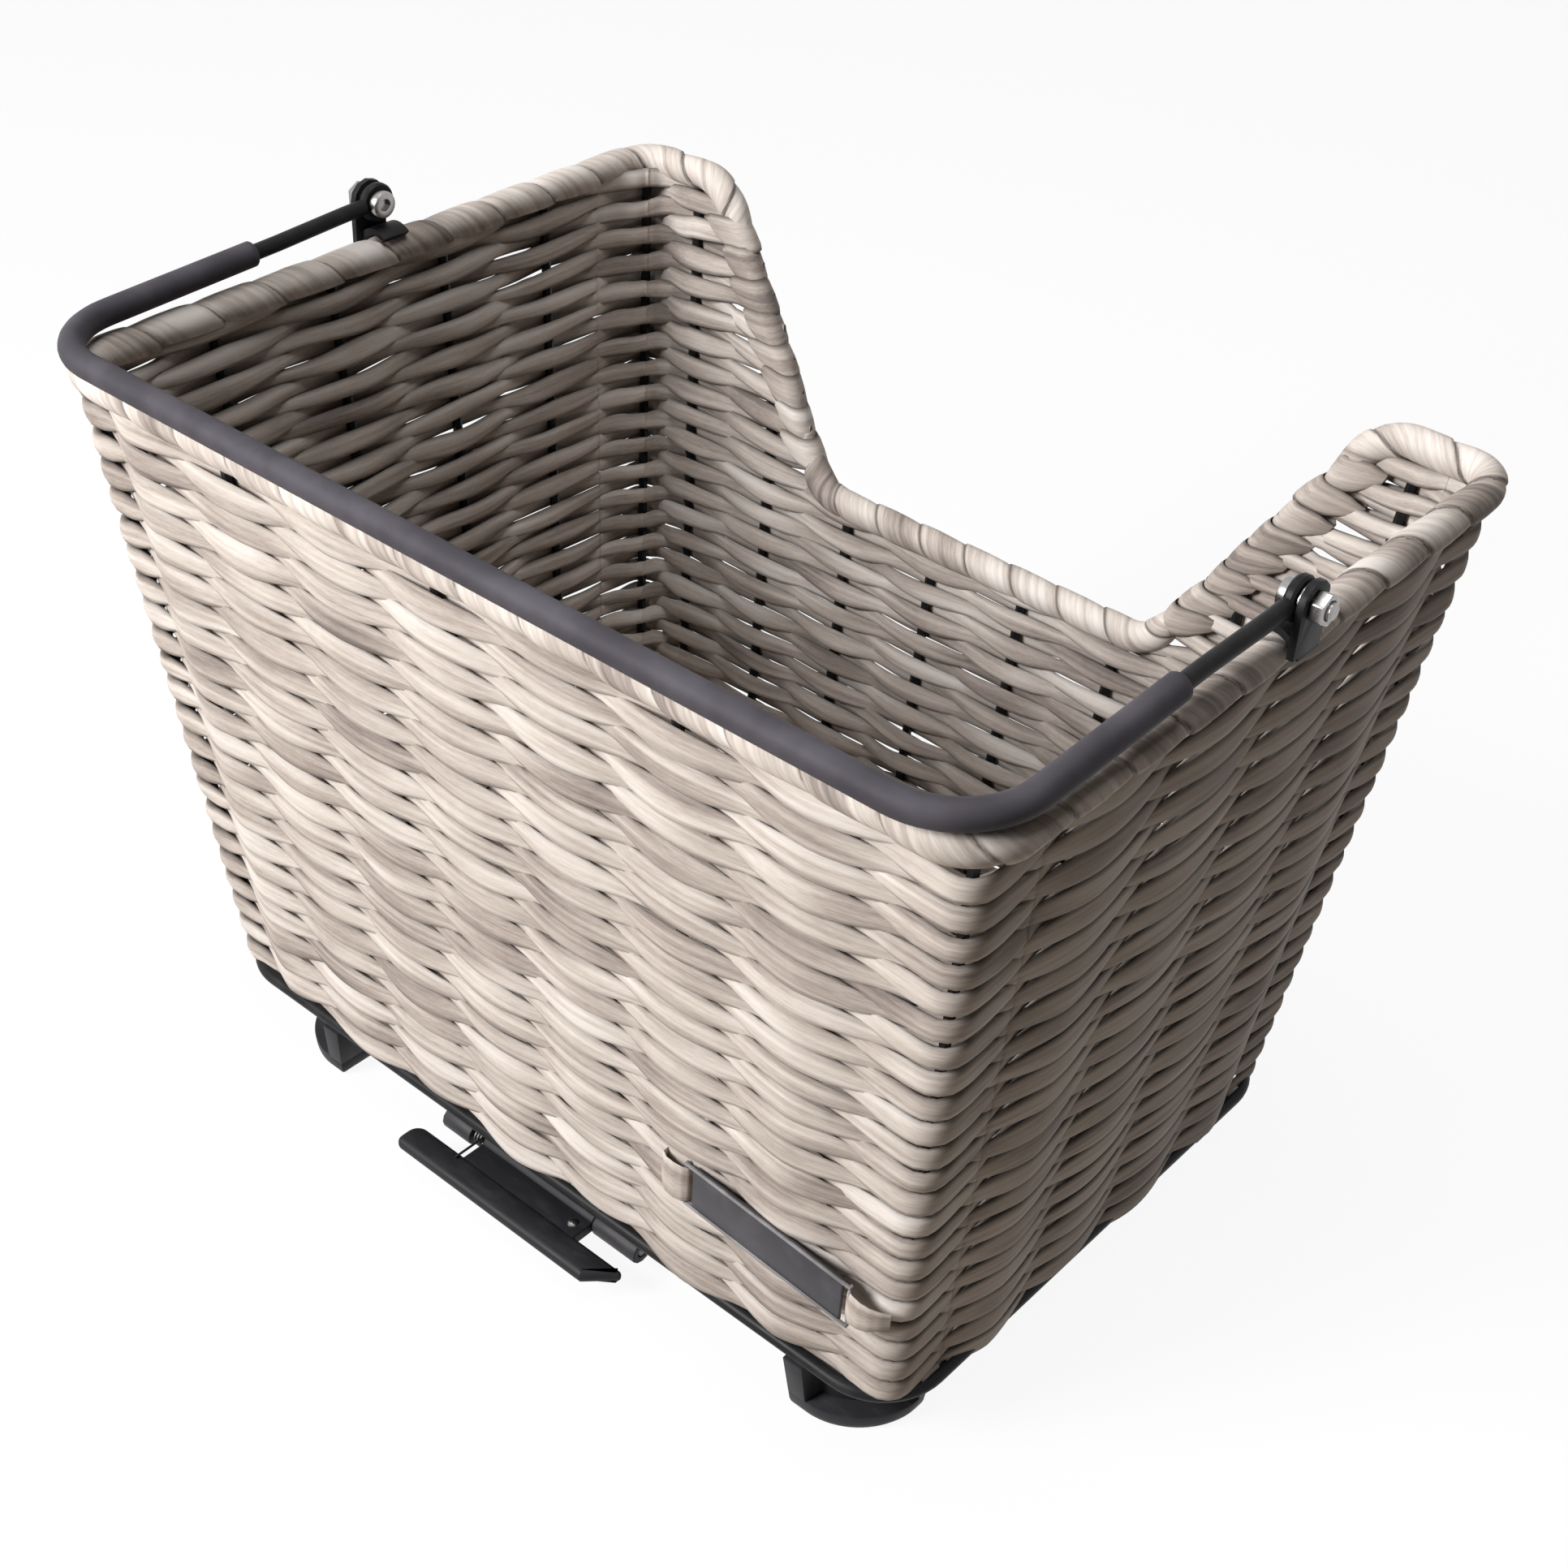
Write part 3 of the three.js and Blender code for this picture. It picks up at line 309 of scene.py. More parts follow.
class Recipe(Graph):
    """A Geometry Nodes tree with named inputs, which turns guide points into a finished mesh."""

    def __init__(self, name: str, inputs: dict[str, Socket]) -> None:
        """Makes the tree's inputs and output.

        Args:
            name: The tree's name.
            inputs: Each input's name and kind, apart from the guide and the finish.
        """
        super().__init__(bpy.data.node_groups.new(name, "GeometryNodeTree"))
        face = self.tree.interface
        face.new_socket("Geometry", in_out="INPUT", socket_type="NodeSocketGeometry")
        for label, kind in {**inputs, "Finish": Socket.FINISH}.items():
            face.new_socket(label, in_out="INPUT", socket_type=kind.value)
        face.new_socket("Geometry", in_out="OUTPUT", socket_type="NodeSocketGeometry")
        self.source = self.tree.nodes.new("NodeGroupInput")

    def __getitem__(self, label: str) -> Term:
        """One of the recipe's inputs."""
        return Term(self, self.source.outputs[label])

    def attribute(self, name: str, kind: str = "FLOAT") -> Term:
        """A stored attribute."""
        return self.add("GeometryNodeInputNamedAttribute", {"data_type": kind}, {"Name": name})

    def store(self, shape: Term, name: str, value: Value, kind: str = "FLOAT") -> Term:
        """Stores a value on each point."""
        return self.add("GeometryNodeStoreNamedAttribute", {"data_type": kind, "domain": "POINT"},
                        {"Geometry": shape, "Name": name, "Value": value})

    def sample(self, value: Term, index: Term) -> Term:
        """A vector of the guide at a point's number."""
        return self.add("GeometryNodeSampleIndex", {"data_type": VECTOR, "clamp": True},
                        {"Geometry": self["Geometry"], "Value": value, "Index": index})

    def follow(self, value: Term, place: Term, offset: Value = 0) -> Term:
        """A vector of the guide between two of its points.

        Args:
            value: The vector.
            place: Number of the point, with its fraction.
            offset: Points to skip.

        Returns:
            The vector at that place.
        """
        whole = place.call("FLOOR")
        first = self.sample(value, whole + offset)
        second = self.sample(value, whole + offset + 1)
        return first + (second - first) * (place - whole)

    def spot(self) -> Term:
        """Position of each point."""
        return self.add("GeometryNodeInputPosition")

    def index(self) -> Term:
        """Number of each point."""
        return self.add("GeometryNodeInputIndex")

    def blank_tube(self, sides: Value, steps: Value) -> Term:
        """Tube of radius and length 1, smooth with flat ends, to be laid along a guide.

        Args:
            sides: Sides of its section.
            steps: Steps along it.

        Returns:
            The tube.
        """
        node = self.add("GeometryNodeMeshCylinder", {"fill_type": "NGON"},
                        {"Vertices": sides, "Side Segments": steps, "Radius": 1.0, "Depth": 1.0})
        outputs = node.socket.node.outputs
        ends = self.add("FunctionNodeBooleanMath", {"operation": "OR"},
                        {0: Term(self, outputs["Top"]), 1: Term(self, outputs["Bottom"])})
        smooth = self.add("GeometryNodeSetShadeSmooth", None, {"Geometry": node, "Shade Smooth": True})
        return self.add("GeometryNodeSetShadeSmooth", None,
                        {"Geometry": smooth, "Selection": ends, "Shade Smooth": False})

    def draw(self, low: Triple, high: Triple, seed: Term) -> Term:
        """Vector drawn at random for each point."""
        return self.add("FunctionNodeRandomValue", {"data_type": VECTOR}, {0: low, 1: high, "Seed": seed})

    def scatter(self, label: str, points: Term, **turns: Term) -> Term:
        """Sets the thing that an input names at each point, turned and sized as given."""
        thing = self.add("GeometryNodeObjectInfo", None, {"Object": self[label]}, "Geometry")
        return self.add("GeometryNodeInstanceOnPoints", None, {"Points": points, "Instance": thing, **turns})

    def moved(self, shape: Term, position: Term) -> Term:
        """Shape with its points put in new places."""
        return self.add("GeometryNodeSetPosition", None, {"Geometry": shape, "Position": position})

    def end(self, shape: Term) -> None:
        """Ends the tree in Realize Instances and Set Material.

        Args:
            shape: The finished shape.
        """
        whole = self.add("GeometryNodeRealizeInstances", None, {"Geometry": shape})
        dressed = self.add("GeometryNodeSetMaterial", None, {"Geometry": whole, "Material": self["Finish"]})
        output = self.tree.nodes.new("NodeGroupOutput")
        self.tree.links.new(dressed.socket, output.inputs["Geometry"])

    def make(self, name: str, guide: bpy.types.Mesh, values: dict[str, Any]) -> Piece:
        """Runs the recipe on a guide.

        Args:
            name: The new piece's name.
            guide: Mesh of the points that the piece follows.
            values: The recipe's inputs.

        Returns:
            The piece, as a plain mesh.
        """
        piece = link(bpy.data.objects.new(name, guide))
        modifier = piece.modifiers.new("recipe", "NODES")
        modifier.node_group = self.tree
        for item in self.tree.interface.items_tree:
            if item.in_out == "INPUT" and item.name in values:
                modifier[item.identifier] = values[item.name]
        flatten(piece)
        piece.data.name = name
        return piece


def link(piece: Piece) -> Piece:
    """Puts an object in the scene."""
    bpy.context.scene.collection.objects.link(piece)
    return piece


def flatten(piece: Piece) -> None:
    """Turns a piece with live modifiers into a plain mesh.

    Args:
        piece: The piece.
    """
    graph = bpy.context.evaluated_depsgraph_get()
    whole = piece.evaluated_get(graph)
    mesh = bpy.data.meshes.new_from_object(whole, preserve_all_data_layers=True, depsgraph=graph)
    piece.modifiers.clear()
    piece.data = mesh


@contextlib.contextmanager
def reshaping(piece: Piece) -> Iterator[bmesh.types.BMesh]:
    """Opens a piece's mesh for changes, and writes them back at the end.

    Args:
        piece: The piece.

    Yields:
        The mesh to change.
    """
    work = bmesh.new()
    work.from_mesh(piece.data)
    yield work
    work.to_mesh(piece.data)
    work.free()


def store_vectors(mesh: bpy.types.Mesh, name: str, values: Array) -> None:
    """Stores a vector on each point of a mesh."""
    layer = mesh.attributes.new(name, VECTOR, "POINT")
    layer.data.foreach_set("vector", np.asarray(values, np.float32).ravel())


def guide_mesh(points: Array, vectors: dict[str, Array] | None = None) -> bpy.types.Mesh:
    """Mesh of guide points.

    Args:
        points: The points.
        vectors: Named directions, one for each point.

    Returns:
        The mesh.
    """
    mesh = bpy.data.meshes.new("guide")
    mesh.from_pydata([tuple(p) for p in points], [], [])
    for name, values in (vectors or {}).items():
        store_vectors(mesh, name, values)
    return mesh


def unit(vectors: Array) -> Array:
    """Vectors of length 1."""
    return vectors / np.linalg.norm(vectors, axis=-1, keepdims=True)


def run_lengths(points: Array) -> Array:
    """Length run along a polyline at each of its points."""
    steps = np.linalg.norm(np.diff(points, axis=0), axis=1)
    return np.concatenate([[0.0], np.cumsum(steps)])


def at_lengths(points: Array, places: Array) -> Array:
    """Points of a polyline at given lengths along it."""
    run = run_lengths(points)
    return np.stack([np.interp(places, run, points[:, k]) for k in range(points.shape[1])], axis=1)


def evenly(points: Array, count: int) -> Array:
    """Points of a polyline at equal steps, one more than the count."""
    return at_lengths(points, np.linspace(0.0, run_lengths(points)[-1], count + 1))


def rounded(corners: Sequence[tuple[Vector, float]], closed: bool, steps: int = 12) -> Array:
    """Straight runs with a round bend at each corner.

    Args:
        corners: Each corner and its radius; the ends of an open run are plain points.
        closed: Whether the run closes on itself.
        steps: Points in a bend.

    Returns:
        The points.
    """
    points: list[Vector] = []
    count = len(corners)
    for k, (corner, radius) in enumerate(corners):
        if not closed and k in (0, count - 1):
            points.append(corner)
            continue
        before = (corners[k - 1][0] - corner).normalized()
        after = (corners[(k + 1) % count][0] - corner).normalized()
        half = before.angle(after) / 2
        centre = corner + (before + after).normalized() * (radius / math.sin(half))
        first = corner + before * (radius / math.tan(half)) - centre
        last = corner + after * (radius / math.tan(half)) - centre
        turn = first.angle(last)
        for step in range(steps + 1):
            share = step / steps
            spoke = first * math.sin(turn * (1 - share)) + last * math.sin(turn * share)
            points.append(centre + spoke / math.sin(turn))
    return np.array([tuple(p) for p in points])


def mesh_piece(name: str, points: Sequence[Sequence[float]], faces: Sequence[Sequence[int]],
               material: Finish, crease: float = CREASE) -> Piece:
    """Piece from points and faces, smooth apart from its creases.

    Args:
        name: The piece's name.
        points: Its points.
        faces: Its faces.
        material: Its finish.
        crease: Degrees past which its edges stay sharp.

    Returns:
        The piece.
    """
    mesh = bpy.data.meshes.new(name)
    mesh.from_pydata([tuple(p) for p in points], [], [tuple(f) for f in faces])
    return dress_mesh(link(bpy.data.objects.new(name, mesh)), material, crease)


def dress_mesh(piece: Piece, material: Finish, crease: float) -> Piece:
    """Gives a piece its finish, outward faces and smooth shading.

    Args:
        piece: The piece.
        material: Its finish.
        crease: Degrees past which its edges stay sharp.

    Returns:
        The same piece.
    """
    with reshaping(piece) as work:
        bmesh.ops.remove_doubles(work, verts=work.verts, dist=MERGE)
        bmesh.ops.recalc_face_normals(work, faces=work.faces)
    piece.data.materials.clear()
    piece.data.materials.append(material)
    piece.data.shade_smooth()
    piece.data.set_sharp_from_angle(angle=math.radians(crease))
    return piece


def bevelled(piece: Piece, width: float, segments: int = 3, angle: float = 50.0) -> Piece:
    """Rounds a piece's edges.

    Args:
        piece: The piece.
        width: The bevel's width.
        segments: Steps in the bevel.
        angle: Edges bent by fewer degrees than this stay.

    Returns:
        The same piece, as a plain mesh.
    """
    bevel = piece.modifiers.new("bevel", "BEVEL")
    bevel.width = width
    bevel.segments = segments
    bevel.limit_method = "ANGLE"
    bevel.angle_limit = math.radians(angle)
    flatten(piece)
    piece.data.shade_smooth()
    piece.data.set_sharp_from_angle(angle=math.radians(CREASE))
    return piece


def joined(name: str, pieces: Sequence[Piece]) -> Piece:
    """One piece made of several, which it takes in with their finishes and attributes.

    Args:
        name: The new piece's name.
        pieces: Pieces with their place in their meshes.

    Returns:
        The new piece.
    """
    bpy.ops.object.select_all(action="DESELECT")
    for piece in pieces:
        piece.select_set(True)
    bpy.context.view_layer.objects.active = pieces[0]
    bpy.ops.object.join()
    pieces[0].name = name
    return pieces[0]


def frames_along(points: Array, closed: bool) -> tuple[Array, Array]:
    """Two directions square to a path at each of its points, turning as little as they can.

    Args:
        points: The path.
        closed: Whether it closes on itself.

    Returns:
        The first and second directions.
    """
    if closed:
        ahead = unit(np.roll(points, -1, 0) - np.roll(points, 1, 0))
    else:
        ahead = unit(np.gradient(points, axis=0))
    level = np.cross(ahead, (0.0, 0.0, 1.0))
    weak = np.linalg.norm(level, axis=1) < STEEP
    level[weak] = np.cross(ahead[weak], (1.0, 0.0, 0.0))
    side = unit(level)
    return side, unit(np.cross(side, ahead))


def lofted(name: str, rings: Sequence[Sequence[Sequence[float]]], material: Finish,
           crease: float = CREASE, closed: bool = False, capped: bool = True) -> Piece:
    """Piece through rings of as many points each.

    Args:
        name: The piece's name.
        rings: The rings, from one end to the other.
        material: Its finish.
        crease: Degrees past which its edges stay sharp.
        closed: Whether the last ring is joined to the first.
        capped: Whether the end rings are filled.

    Returns:
        The piece.
    """
    count = len(rings)
    sides = len(rings[0])
    faces: list[list[int]] = []
    for k in range(count if closed else count - 1):
        here = k * sides
        there = (k + 1) % count * sides
        for s in range(sides):
            n = (s + 1) % sides
            faces.append([here + s, here + n, there + n, there + s])
    if capped:
        faces.append(list(range(sides))[::-1])
        faces.append([(count - 1) * sides + s for s in range(sides)])
    return mesh_piece(name, [point for ring in rings for point in ring], faces, material, crease)


def swept(name: str, points: Array, radii: Sequence[float] | float, sides: int,
          material: Finish, closed: bool = False) -> Piece:
    """Round bar along a path.

    Args:
        name: The piece's name.
        points: The path.
        radii: The bar's radius, or one for each point.
        sides: Sides of its section.
        material: Its finish.
        closed: Whether the path closes on itself.

    Returns:
        The piece.
    """
    side, lift = frames_along(points, closed)
    size = np.broadcast_to(np.asarray(radii, float), len(points))
    angles = np.arange(sides) * 2 * math.pi / sides
    spokes = np.cos(angles)[None, :, None] * side[:, None] + np.sin(angles)[None, :, None] * lift[:, None]
    rings = points[:, None] + spokes * size[:, None, None]
    return lofted(name, rings, material, closed=closed, capped=not closed)


def turned(name: str, profile: Sequence[Pair], place: Matrix, material: Finish,
           sides: int = 40, crease: float = 30.0) -> Piece:
    """Turned piece about its own Z axis.

    Args:
        name: The piece's name.
        profile: Radius and height of each point, from one end to the other.
        place: Where the piece's own axes lie in the frame.
        material: Its finish.
        sides: Sides of the turned round.
        crease: Degrees past which its edges stay sharp.

    Returns:
        The piece.
    """
    angles = [2 * math.pi * k / sides for k in range(sides)]
    rings = [[place @ Vector((radius * math.cos(a), radius * math.sin(a), height)) for a in angles]
             for radius, height in profile]
    return lofted(name, rings, material, crease, capped=profile[0] != profile[-1])


def slab(name: str, outline: Array, low: float, high: float, ease: float, material: Finish) -> Piece:
    """Flat piece with rounded edges above and below.

    Args:
        name: The piece's name.
        outline: Its plan, anticlockwise.
        low: Height of its underside.
        high: Height of its top.
        ease: Radius of its edges.
        material: Its finish.

    Returns:
        The piece.
    """
    ahead = unit(np.roll(outline, -1, 0) - np.roll(outline, 1, 0))
    inward = np.stack([-ahead[:, 1], ahead[:, 0]], 1)
    turns = np.radians(np.linspace(0, 90, 5))
    under = [(low + ease * (1 - math.cos(a)), ease * (1 - math.sin(a))) for a in turns]
    above = [(high - (z - low), inset) for z, inset in reversed(under)]
    rings = []
    for z, inset in [*under, *above]:
        flat = outline + inward * inset
        rings.append(np.hstack([flat, np.full((len(flat), 1), z)]))
    return lofted(name, rings, material)


def strip_rings(path: Array, halves: Array, thick: float, sides: int, power: float = 1.0) -> Array:
    """Sections of a flat strip along a path.

    Args:
        path: The path's points, along and out.
        halves: Half the strip's width at each point.
        thick: Its thickness.
        sides: Sides of its section.
        power: How square its edges are, from 1 for round.

    Returns:
        A ring for each point of the path, its points given along, out and across.
    """
    ahead = unit(np.gradient(path, axis=0))
    square = np.stack([-ahead[:, 1], ahead[:, 0]], 1)
    angles = np.arange(sides) * 2 * math.pi / sides
    cosine = np.cos(angles)
    flat = path[:, None] + square[:, None] * (np.sin(angles) * thick / 2)[:, None]
    across = np.sign(cosine) * np.abs(cosine) ** power * halves[:, None]
    return np.concatenate([flat, across[..., None]], 2)


def mark_tape(piece: Piece, rings: Array, length: float, half: float, seed: float) -> None:
    """Stores where on the tape each point of a strip lies, for its finish.

    Args:
        piece: The strip.
        rings: The sections that it was made from.
        length: Its length.
        half: Half its width.
        seed: Choice of its streaks.
    """
    count, sides = rings.shape[:2]
    along = np.repeat(np.linspace(0.0, length, count), sides)
    across = np.tile(np.cos(np.arange(sides) * 2 * math.pi / sides) * half, count)
    store_vectors(piece.data, "tape", np.stack([along, across, np.full_like(along, seed)], 1))


def box_plan(low: Sequence[float], high: Sequence[float], corner: float) -> Array:
    """Plan of a box with round corners, anticlockwise."""
    corners = [(low[0], low[1]), (high[0], low[1]), (high[0], high[1]), (low[0], high[1])]
    return rounded([(Vector((x, y, 0.0)), corner) for x, y in corners], True, steps=5)[:, :2]


def copied(name: str, node: Piece, material: Finish) -> Piece:
    """Copy of a frame node with its flat faces whole again.

    Args:
        name: The copy's name.
        node: The node.
        material: The copy's finish.

    Returns:
        The copy.
    """
    piece = link(bpy.data.objects.new(name, node.data.copy()))
    dress_mesh(piece, material, crease=35.0)
    with reshaping(piece) as work:
        bmesh.ops.dissolve_limit(work, angle_limit=math.radians(1.0), verts=work.verts, edges=work.edges)
    return piece


def middle_of(node: str) -> Vector:
    """Middle of a frame node's box."""
    low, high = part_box(node)
    return (low + high) / 2


def crosswise(spot: Vector, sign: int = 1) -> Matrix:
    """Place of a turned piece whose axis lies along X, towards the right for 1 and the left for -1."""
    return Matrix.Translation(spot) @ Matrix.Rotation(sign * math.pi / 2, 4, "Y")


def settle(piece: Piece, body: str, slot: str, *nodes: str) -> Piece:
    """Ties a finished piece to the frame.

    Args:
        piece: The piece.
        body: The body that it moves with.
        slot: The record's material slot; not used.
        nodes: Frame nodes that it stands for.

    Returns:
        The same piece.
    """
    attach(piece, body)
    if nodes:
        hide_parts(*nodes)
    LOG.info("%s: %d faces on %s", piece.name, len(piece.data.polygons), body)
    return piece


@dataclass(frozen=True)
class TapeFinish:
    """Flat synthetic tape with long streaks, from ivory to a purple grey, darkened by painted shade at its
    edges and seams.
    """

    name: str = "woven_tape"
    tones: tuple[Triple, ...] = (
        (0.190, 0.158, 0.144), (0.370, 0.316, 0.282), (0.550, 0.488, 0.440), (0.710, 0.656, 0.614))
    painted_shade_colour: Triple = (0.060, 0.048, 0.042)
    painted_shade_share: float = 0.9
    tone_places: tuple[float, ...] = (0.28, 0.41, 0.53, 0.66)
    broad_rates: Triple = (8.0, 30.0, 7.3)
    streak_rates: Triple = (14.0, 380.0, 3.1)
    grain_rates: Triple = (220.0, 2600.0, 1.0)
    streak_share: float = 0.44
    grain_share: float = 0.20
    streak_relief: float = 0.6
    relief_strength: float = 0.25
    relief_depth: float = 0.25 * MM
    roughness: float = 0.58
    spread: float = 0.2
    gloss: float = 0.15

    def material(self) -> Finish:
        """Material that follows each strand by its stored place along and across the tape, and darkens it
        where painted shade is stored.

        Returns:
            The material.
        """
        s = Surface(self.name)
        tape = s.add("ShaderNodeAttribute", {"attribute_name": "tape"}, None, "Vector")
        broad = s.noise(tape * self.broad_rates, 1.0, 3.0)
        streak = s.noise(tape * self.streak_rates, 1.0, 3.0)
        grain = s.noise(tape * self.grain_rates, 1.0, 2.0)
        tone = broad + (streak - NOISE_MIDDLE) * self.streak_share + (grain - NOISE_MIDDLE) * self.grain_share
        # Painted shade: a stored share from 0 to 1 darkens the colour at the strands' edges, along the wound
        # tape's seams and at the folds' edges, where shade falls between and under the tape.
        seam = s.add("ShaderNodeAttribute", {"attribute_name": "seam"}, None, "Fac")
        plain = s.ramp(tone, list(zip(self.tone_places, self.tones)))
        colour = s.mix(seam * self.painted_shade_share, plain, (*self.painted_shade_colour, 1.0))
        relief = streak * self.streak_relief + grain * (1.0 - self.streak_relief)
        return s.finish({"Base Color": colour, "Specular IOR Level": self.gloss,
                         "Roughness": grain * self.spread + self.roughness - self.spread / 2,
                         "Normal": s.bump(relief, self.relief_strength, self.relief_depth)})


@dataclass(frozen=True)
class PlainFinish:
    """One colour with faint patches and a fine relief."""

    name: str
    colour: Triple
    roughness: float
    gloss: float = 0.25
    metallic: float = 0.0
    patch_scale: float = 90.0
    patch_detail: float = 3.0
    patch_stretch: Triple | None = None
    patch_band: Pair = (0.42, 0.75)
    patch_gain: float = 1.6
    patch_lift: float = 0.004
    relief_scale: float = 1400.0
    relief_detail: float = 1.0
    relief_stretch: Triple | None = None
    relief_strength: float = 0.12
    relief_depth: float = 0.1 * MM
    relief_dulls: bool = False
    spread: float = 0.25
    spread_below: float = 0.12

    def material(self) -> Finish:
        """Material with the patches in its colour, and the roughness spread by patches or relief.

        Returns:
            The material.
        """
        s = Surface(self.name)
        place = s.place()
        patch = s.noise(self.stretched(place, self.patch_stretch), self.patch_scale, self.patch_detail)
        relief = s.noise(self.stretched(place, self.relief_stretch), self.relief_scale, self.relief_detail)
        other = tuple(c * self.patch_gain + self.patch_lift for c in self.colour)
        colour = s.mix(s.between(patch, *self.patch_band), (*self.colour, 1.0), (*other, 1.0))
        dulling = relief if self.relief_dulls else patch
        return s.finish({"Base Color": colour, "Metallic": self.metallic, "Specular IOR Level": self.gloss,
                         "Roughness": dulling * self.spread + self.roughness - self.spread_below,
                         "Normal": s.bump(relief, self.relief_strength, self.relief_depth)})

    @staticmethod
    def stretched(place: Term, stretch: Triple | None) -> Term:
        """A place, drawn out along the axes where the finish asks for it."""
        return place * stretch if stretch else place


@dataclass(frozen=True)
class PaintFinish(PlainFinish):
    """Black paint on wire and sheet metal, with rubbed patches and a faint orange peel."""


@dataclass(frozen=True)
class FoamFinish(PlainFinish):
    """Closed-cell foam sleeve with a soft skin, fine pores and a slight bloom."""

    name: str = "grip_foam"
    colour: Triple = (0.046, 0.042, 0.050)
    roughness: float = 0.6
    gloss: float = 0.12
    patch_scale: float = 45.0
    patch_band: Pair = (0.35, 0.75)
    patch_gain: float = 1.5
    patch_lift: float = 0.006
    relief_scale: float = 1900.0
    relief_detail: float = 2.0
    relief_strength: float = 0.3
    relief_depth: float = 0.12 * MM
    relief_dulls: bool = True
    spread: float = 0.22
    spread_below: float = 0.11


@dataclass(frozen=True)
class SteelFinish(PlainFinish):
    """Stainless fasteners, turned and lightly brushed, with fine tool marks."""

    name: str = "stainless"
    colour: Triple = (0.36, 0.35, 0.345)
    roughness: float = 0.28
    gloss: float = 0.5
    metallic: float = 1.0
    patch_scale: float = 160.0
    patch_detail: float = 2.0
    patch_band: Pair = (0.4, 0.8)
    patch_gain: float = 0.75
    patch_lift: float = 0.0
    relief_scale: float = 900.0
    relief_detail: float = 2.0
    relief_stretch: Triple | None = (1.0, 1.0, 9.0)
    relief_strength: float = 0.08
    relief_depth: float = 0.05 * MM
    relief_dulls: bool = True
    spread: float = 0.2
    spread_below: float = 0.1


@dataclass(frozen=True)
class MouldedFinish(PlainFinish):
    """Moulded plastic with a fine spark-eroded grain and faint handling marks."""

    gloss: float = 0.22
    patch_scale: float = 70.0
    patch_detail: float = 4.0
    patch_stretch: Triple | None = (1.0, 3.0, 1.0)
    patch_band: Pair = (0.45, 0.75)
    patch_gain: float = 1.5
    patch_lift: float = 0.003
    relief_scale: float = 2200.0
    relief_detail: float = 2.0
    relief_strength: float = 0.22
    relief_depth: float = 0.08 * MM
    spread: float = 0.3
    spread_below: float = 0.15


@dataclass(frozen=True)
class StudioFinish:
    """White floor that keeps a light shadow of the object."""

    name: str = "studio_floor"
    colour: Triple = (0.90, 0.90, 0.90)
    bounce: Triple = (0.28, 0.24, 0.20)
    glow: float = 0.92

    def material(self) -> Finish:
        """Matt white, and mostly plain white where it is seen straight on or mirrored.

        Returns:
            The material.
        """
        s = Surface(self.name)
        tone = s.mix(seen(s), (*self.bounce, 1.0), (*self.colour, 1.0))
        matt = s.add("ShaderNodeBsdfDiffuse", None, {"Color": tone})
        plain = s.add("ShaderNodeEmission", None, {"Color": (1.0, 1.0, 1.0, 1.0), "Strength": 1.0})
        s.add_output(s.add("ShaderNodeMixShader", None, {0: seen(s) * self.glow, 1: matt, 2: plain}))
        return s.material


class Wall(enum.Enum):
    """The basket's walls in the order in which the strand winds, with their directions along and out."""

    FRONT = ((1.0, 0.0), (0.0, -1.0))
    RIGHT = ((0.0, 1.0), (1.0, 0.0))
    BACK = ((-1.0, 0.0), (0.0, 1.0))
    LEFT = ((0.0, -1.0), (-1.0, 0.0))

    @property
    def along(self) -> Array:
        """Direction in which the strand runs."""
        return np.array(self.value[0])

    @property
    def out(self) -> Array:
        """Direction out of the basket."""
        return np.array(self.value[1])


